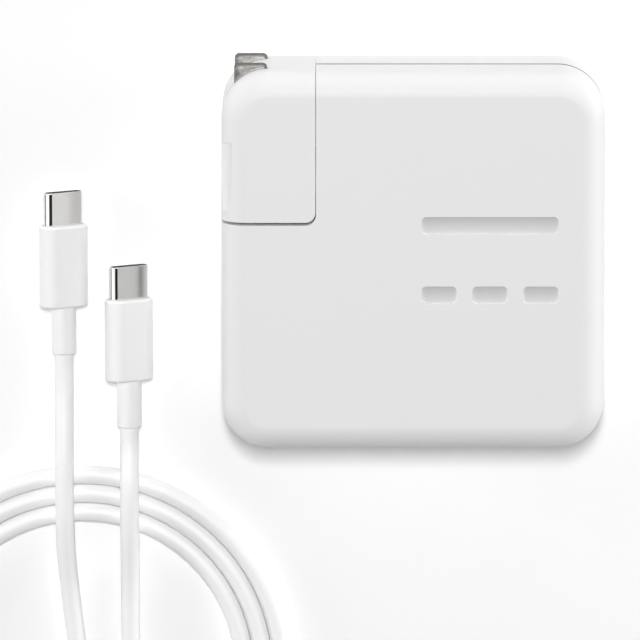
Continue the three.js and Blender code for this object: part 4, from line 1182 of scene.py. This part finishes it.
# %% Cord
cord_curve = bpy.data.curves.new("charge_lead", "CURVE")
cord_curve.dimensions = "3D"
cord_curve.bevel_depth = CORD_DIAMETER / 2 * MM
cord_curve.bevel_resolution = 8
cord_curve.use_fill_caps = True
spline = cord_curve.splines.new("POLY")
spline.points.add(len(route) - 1)
for point, place in zip(spline.points, route):
    point.co = (*(place * MM), 1.0)
spline.use_smooth = True
cord = into_scene("charge_lead", cord_curve)
cord_curve.materials.append(elastomer_jacket)
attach(cord, "adapter")
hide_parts("lead_a", "cable_coil", "lead_b")
print("cord diameter, mm:", CORD_DIAMETER)

# %% [markdown]
# ## The tie
# A moulded silicone strap holds the coil's two lower strands together: a rounded loop round both,
# with rounded rims.

# %% Tie
TIE_WIDTH = 7.0
TIE_THICKNESS = 0.8
TIE_ROUND = 1.6
TIE_RIM = 0.25
TIE_SLACK = 0.6
TIE_TOP = 2 * TIE_THICKNESS + CORD_DIAMETER + TIE_SLACK
tie_low, tie_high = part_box("cable_tie")
tie_y = (tie_low.y / MM, tie_high.y / MM)
tie_size = (tie_y[1] - tie_y[0], TIE_TOP)
tie_centre = ((tie_y[0] + tie_y[1]) / 2, TIE_TOP / 2)
tie_span = (COIL_CENTRE[0] - TIE_WIDTH / 2, COIL_CENTRE[0] + TIE_WIDTH / 2)
tie_layers = []
for station, width, height in oval_rims(*tie_span, *tie_size, TIE_RIM):
    tie_layers.append((rounded(width, height, TIE_ROUND, tie_centre), station))
tie = loft("coil_tie", tie_layers, "x")
tie_bore = rounded(*grown(tie_size, -TIE_THICKNESS), TIE_ROUND - TIE_THICKNESS, tie_centre)
bore_span = (tie_span[0] - CUT_OUT, tie_span[1] + CUT_OUT)
cut(tie, prism("tie_bore", tie_bore, bore_span, "x"))
dress(shade(tie), "adapter", "tie_strap", silicone_strap, "cable_tie")
print("tie, mm:", [round(v, 2) for v in tie_size])

# %% [markdown]
# ## Floor
# The picture's ground is plain white paper with one short shadow below the adapter. The paper's own
# colour is nearly white, and a faint glow for camera, mirror and glass rays takes it to full white.
# The lamps stay at a plain level, so the adapter isn't washed out, and the shadow stays real.

# %% Floor
FLOOR_SIZE = 12.0
GLOW = 0.09
FIBRE_SIZE = 0.8
FIBRE_DEPTH = 0.01
floor_mesh = bpy.data.meshes.new("paper_floor")
reach = FLOOR_SIZE / 2
corners = [(-reach, -reach, 0), (reach, -reach, 0), (reach, reach, 0), (-reach, reach, 0)]
floor_mesh.from_pydata(corners, [], [(0, 1, 2, 3)])
floor = into_scene("paper_floor", floor_mesh)


def seen_rays(tree):
    """The kinds of ray, and one for camera, mirror and glass rays but nought for rays that light."""
    ray = add(tree, "ShaderNodeLightPath").outputs
    mirror = sums(tree, "MAXIMUM", ray["Is Camera Ray"], ray["Is Glossy Ray"])
    return ray, sums(tree, "MAXIMUM", mirror, ray["Is Transmission Ray"])


paper = bpy.data.materials.new("matt_white_paper")
paper.use_nodes = True
paper_tree = paper.node_tree
paper_tree.nodes.clear()
glow = sums(paper_tree, "MULTIPLY", seen_rays(paper_tree)[1], GLOW)
grain = add(paper_tree, "ShaderNodeTexNoise", {"Scale": 1 / (FIBRE_SIZE * MM)})
fibre = add(paper_tree, "ShaderNodeBump", {"Height": grain.outputs["Fac"], "Distance": FIBRE_DEPTH * MM})
matt = add(paper_tree, "ShaderNodeBsdfDiffuse", {
    "Color": linear("#FBFBFB"), "Normal": fibre.outputs["Normal"],
})
light_up = add(paper_tree, "ShaderNodeEmission", {"Strength": glow})
both = add(paper_tree, "ShaderNodeAddShader", {0: matt.outputs["BSDF"], 1: light_up.outputs["Emission"]})
add(paper_tree, "ShaderNodeOutputMaterial", {"Surface": both.outputs["Shader"]})
floor_mesh.materials.append(paper)
print("floor:", FLOOR_SIZE, "m")

# %% [markdown]
# ## Lamps
# The photograph's shadow is dark at the adapter's lower side and fades out a few millimetres from
# it. A case 28.6 mm high throws such a shadow from a fairly small lamp almost overhead, 15 degrees
# towards the plug side. The upper side and the left and right edges are as bright as the face or
# brighter, which takes three low panels, one on each of those sides.

# %% Lamps
def panel(name, azimuth, elevation, distance, size, power):
    """An area lamp that faces the adapter; azimuth runs from +X towards +Y, in degrees."""
    a, e = math.radians(azimuth), math.radians(elevation)
    away = Vector((math.cos(e) * math.cos(a), math.cos(e) * math.sin(a), math.sin(e)))
    lamp = bpy.data.lights.new(name, "AREA")
    lamp.shape = "RECTANGLE"
    lamp.size, lamp.size_y = size
    lamp.energy = power
    made = into_scene(name, lamp)
    made.location = LOOK_AT + distance * away
    made.rotation_euler = (-away).to_track_quat("-Z", "Y").to_euler()
    made.visible_camera = False


panel("overhead_key", azimuth=91, elevation=75, distance=2.0, size=(0.12, 0.34), power=24.6)
panel("upper_rim", azimuth=80, elevation=5, distance=1.5, size=(0.7, 0.2), power=4.2)
panel("right_rim", azimuth=10, elevation=5, distance=1.5, size=(0.5, 0.2), power=9.5)
panel("left_rim", azimuth=170, elevation=11, distance=1.5, size=(0.5, 0.3), power=6.0)

# %% [markdown]
# ## Sky
# An even sky fills the shadows. Bright metal shows the studio instead of its own colour, so mirror
# rays see a studio: a white tent with a broad black flag up on the right, which draws the black
# line along each connector shell, and a dark gap between the tent and the floor, which edges it.
# A colour ramp holds the tent's stripes, by the angle from straight up towards the right. They are
# narrow cards, just where the shells mirror them into the camera. The rest of the tent is plain, so
# metal looks bright from the other sides too.

# %% Sky
SKY = 0.2
TENT = 1.45
GAP_TOP = 0.38
GAP_EDGE = 0.05
GAP_SHADE = 0.06
HORIZONS = (-90, 90)
TENT_SHADES = (
    (-90, 1.0), (-12, 1.0), (-8, 0.15), (3, 0.15), (5, 0.0), (51.5, 0.0), (53, 0.7), (59, 0.7), (62, 1.0),
)
PLAIN_SHADE = 0.67
CARDS_AT = -0.18
CARDS_REACH = 0.12
CARDS_FADE = 0.05

sky = bpy.data.worlds.new("studio_sky")
sky.use_nodes = True
bpy.context.scene.world = sky
sky_tree = sky.node_tree
sky_tree.nodes.clear()
toward = add(sky_tree, "ShaderNodeSeparateXYZ", {
    "Vector": add(sky_tree, "ShaderNodeTexCoord").outputs["Generated"],
}).outputs
lean = sums(sky_tree, "ARCTAN2", toward["X"], toward["Z"])
share = add(sky_tree, "ShaderNodeMapRange", {
    "Value": lean, "From Min": math.radians(HORIZONS[0]), "From Max": math.radians(HORIZONS[1]),
})
tent_ramp = add(sky_tree, "ShaderNodeValToRGB", {"Fac": share.outputs["Result"]})
stops = tent_ramp.color_ramp.elements
while len(stops) < len(TENT_SHADES):
    stops.new(1.0)
for stop, (angle, shade_value) in zip(stops, TENT_SHADES):
    stop.position = (angle - HORIZONS[0]) / (HORIZONS[1] - HORIZONS[0])
    stop.color = (shade_value, shade_value, shade_value, 1.0)
above_gap = add(sky_tree, "ShaderNodeMapRange", {
    "Value": toward["Z"], "From Min": GAP_TOP - GAP_EDGE, "From Max": GAP_TOP, "To Min": GAP_SHADE,
})
cards = sums(sky_tree, "MULTIPLY", tent_ramp.outputs["Color"], above_gap.outputs["Result"])
aside = sums(sky_tree, "ABSOLUTE", sums(sky_tree, "SUBTRACT", toward["Y"], CARDS_AT))
past_cards = add(sky_tree, "ShaderNodeMapRange", {
    "Value": aside, "From Min": CARDS_REACH, "From Max": CARDS_REACH + CARDS_FADE,
})
tent = add(sky_tree, "ShaderNodeMix", {0: past_cards.outputs["Result"], 2: cards, 3: PLAIN_SHADE})
shown = sums(sky_tree, "MULTIPLY", tent.outputs[0], TENT)
ray, seen = seen_rays(sky_tree)
plain = add(sky_tree, "ShaderNodeMix", {0: ray["Is Camera Ray"], 2: shown, 3: 1.0})
strength = add(sky_tree, "ShaderNodeMix", {0: seen, 2: SKY, 3: plain.outputs[0]})
even = add(sky_tree, "ShaderNodeBackground", {"Color": linear("#FFFFFF"), "Strength": strength.outputs[0]})
add(sky_tree, "ShaderNodeOutputWorld", {"Surface": even.outputs["Background"]})
print("sky strength:", SKY, "tent strength:", TENT)
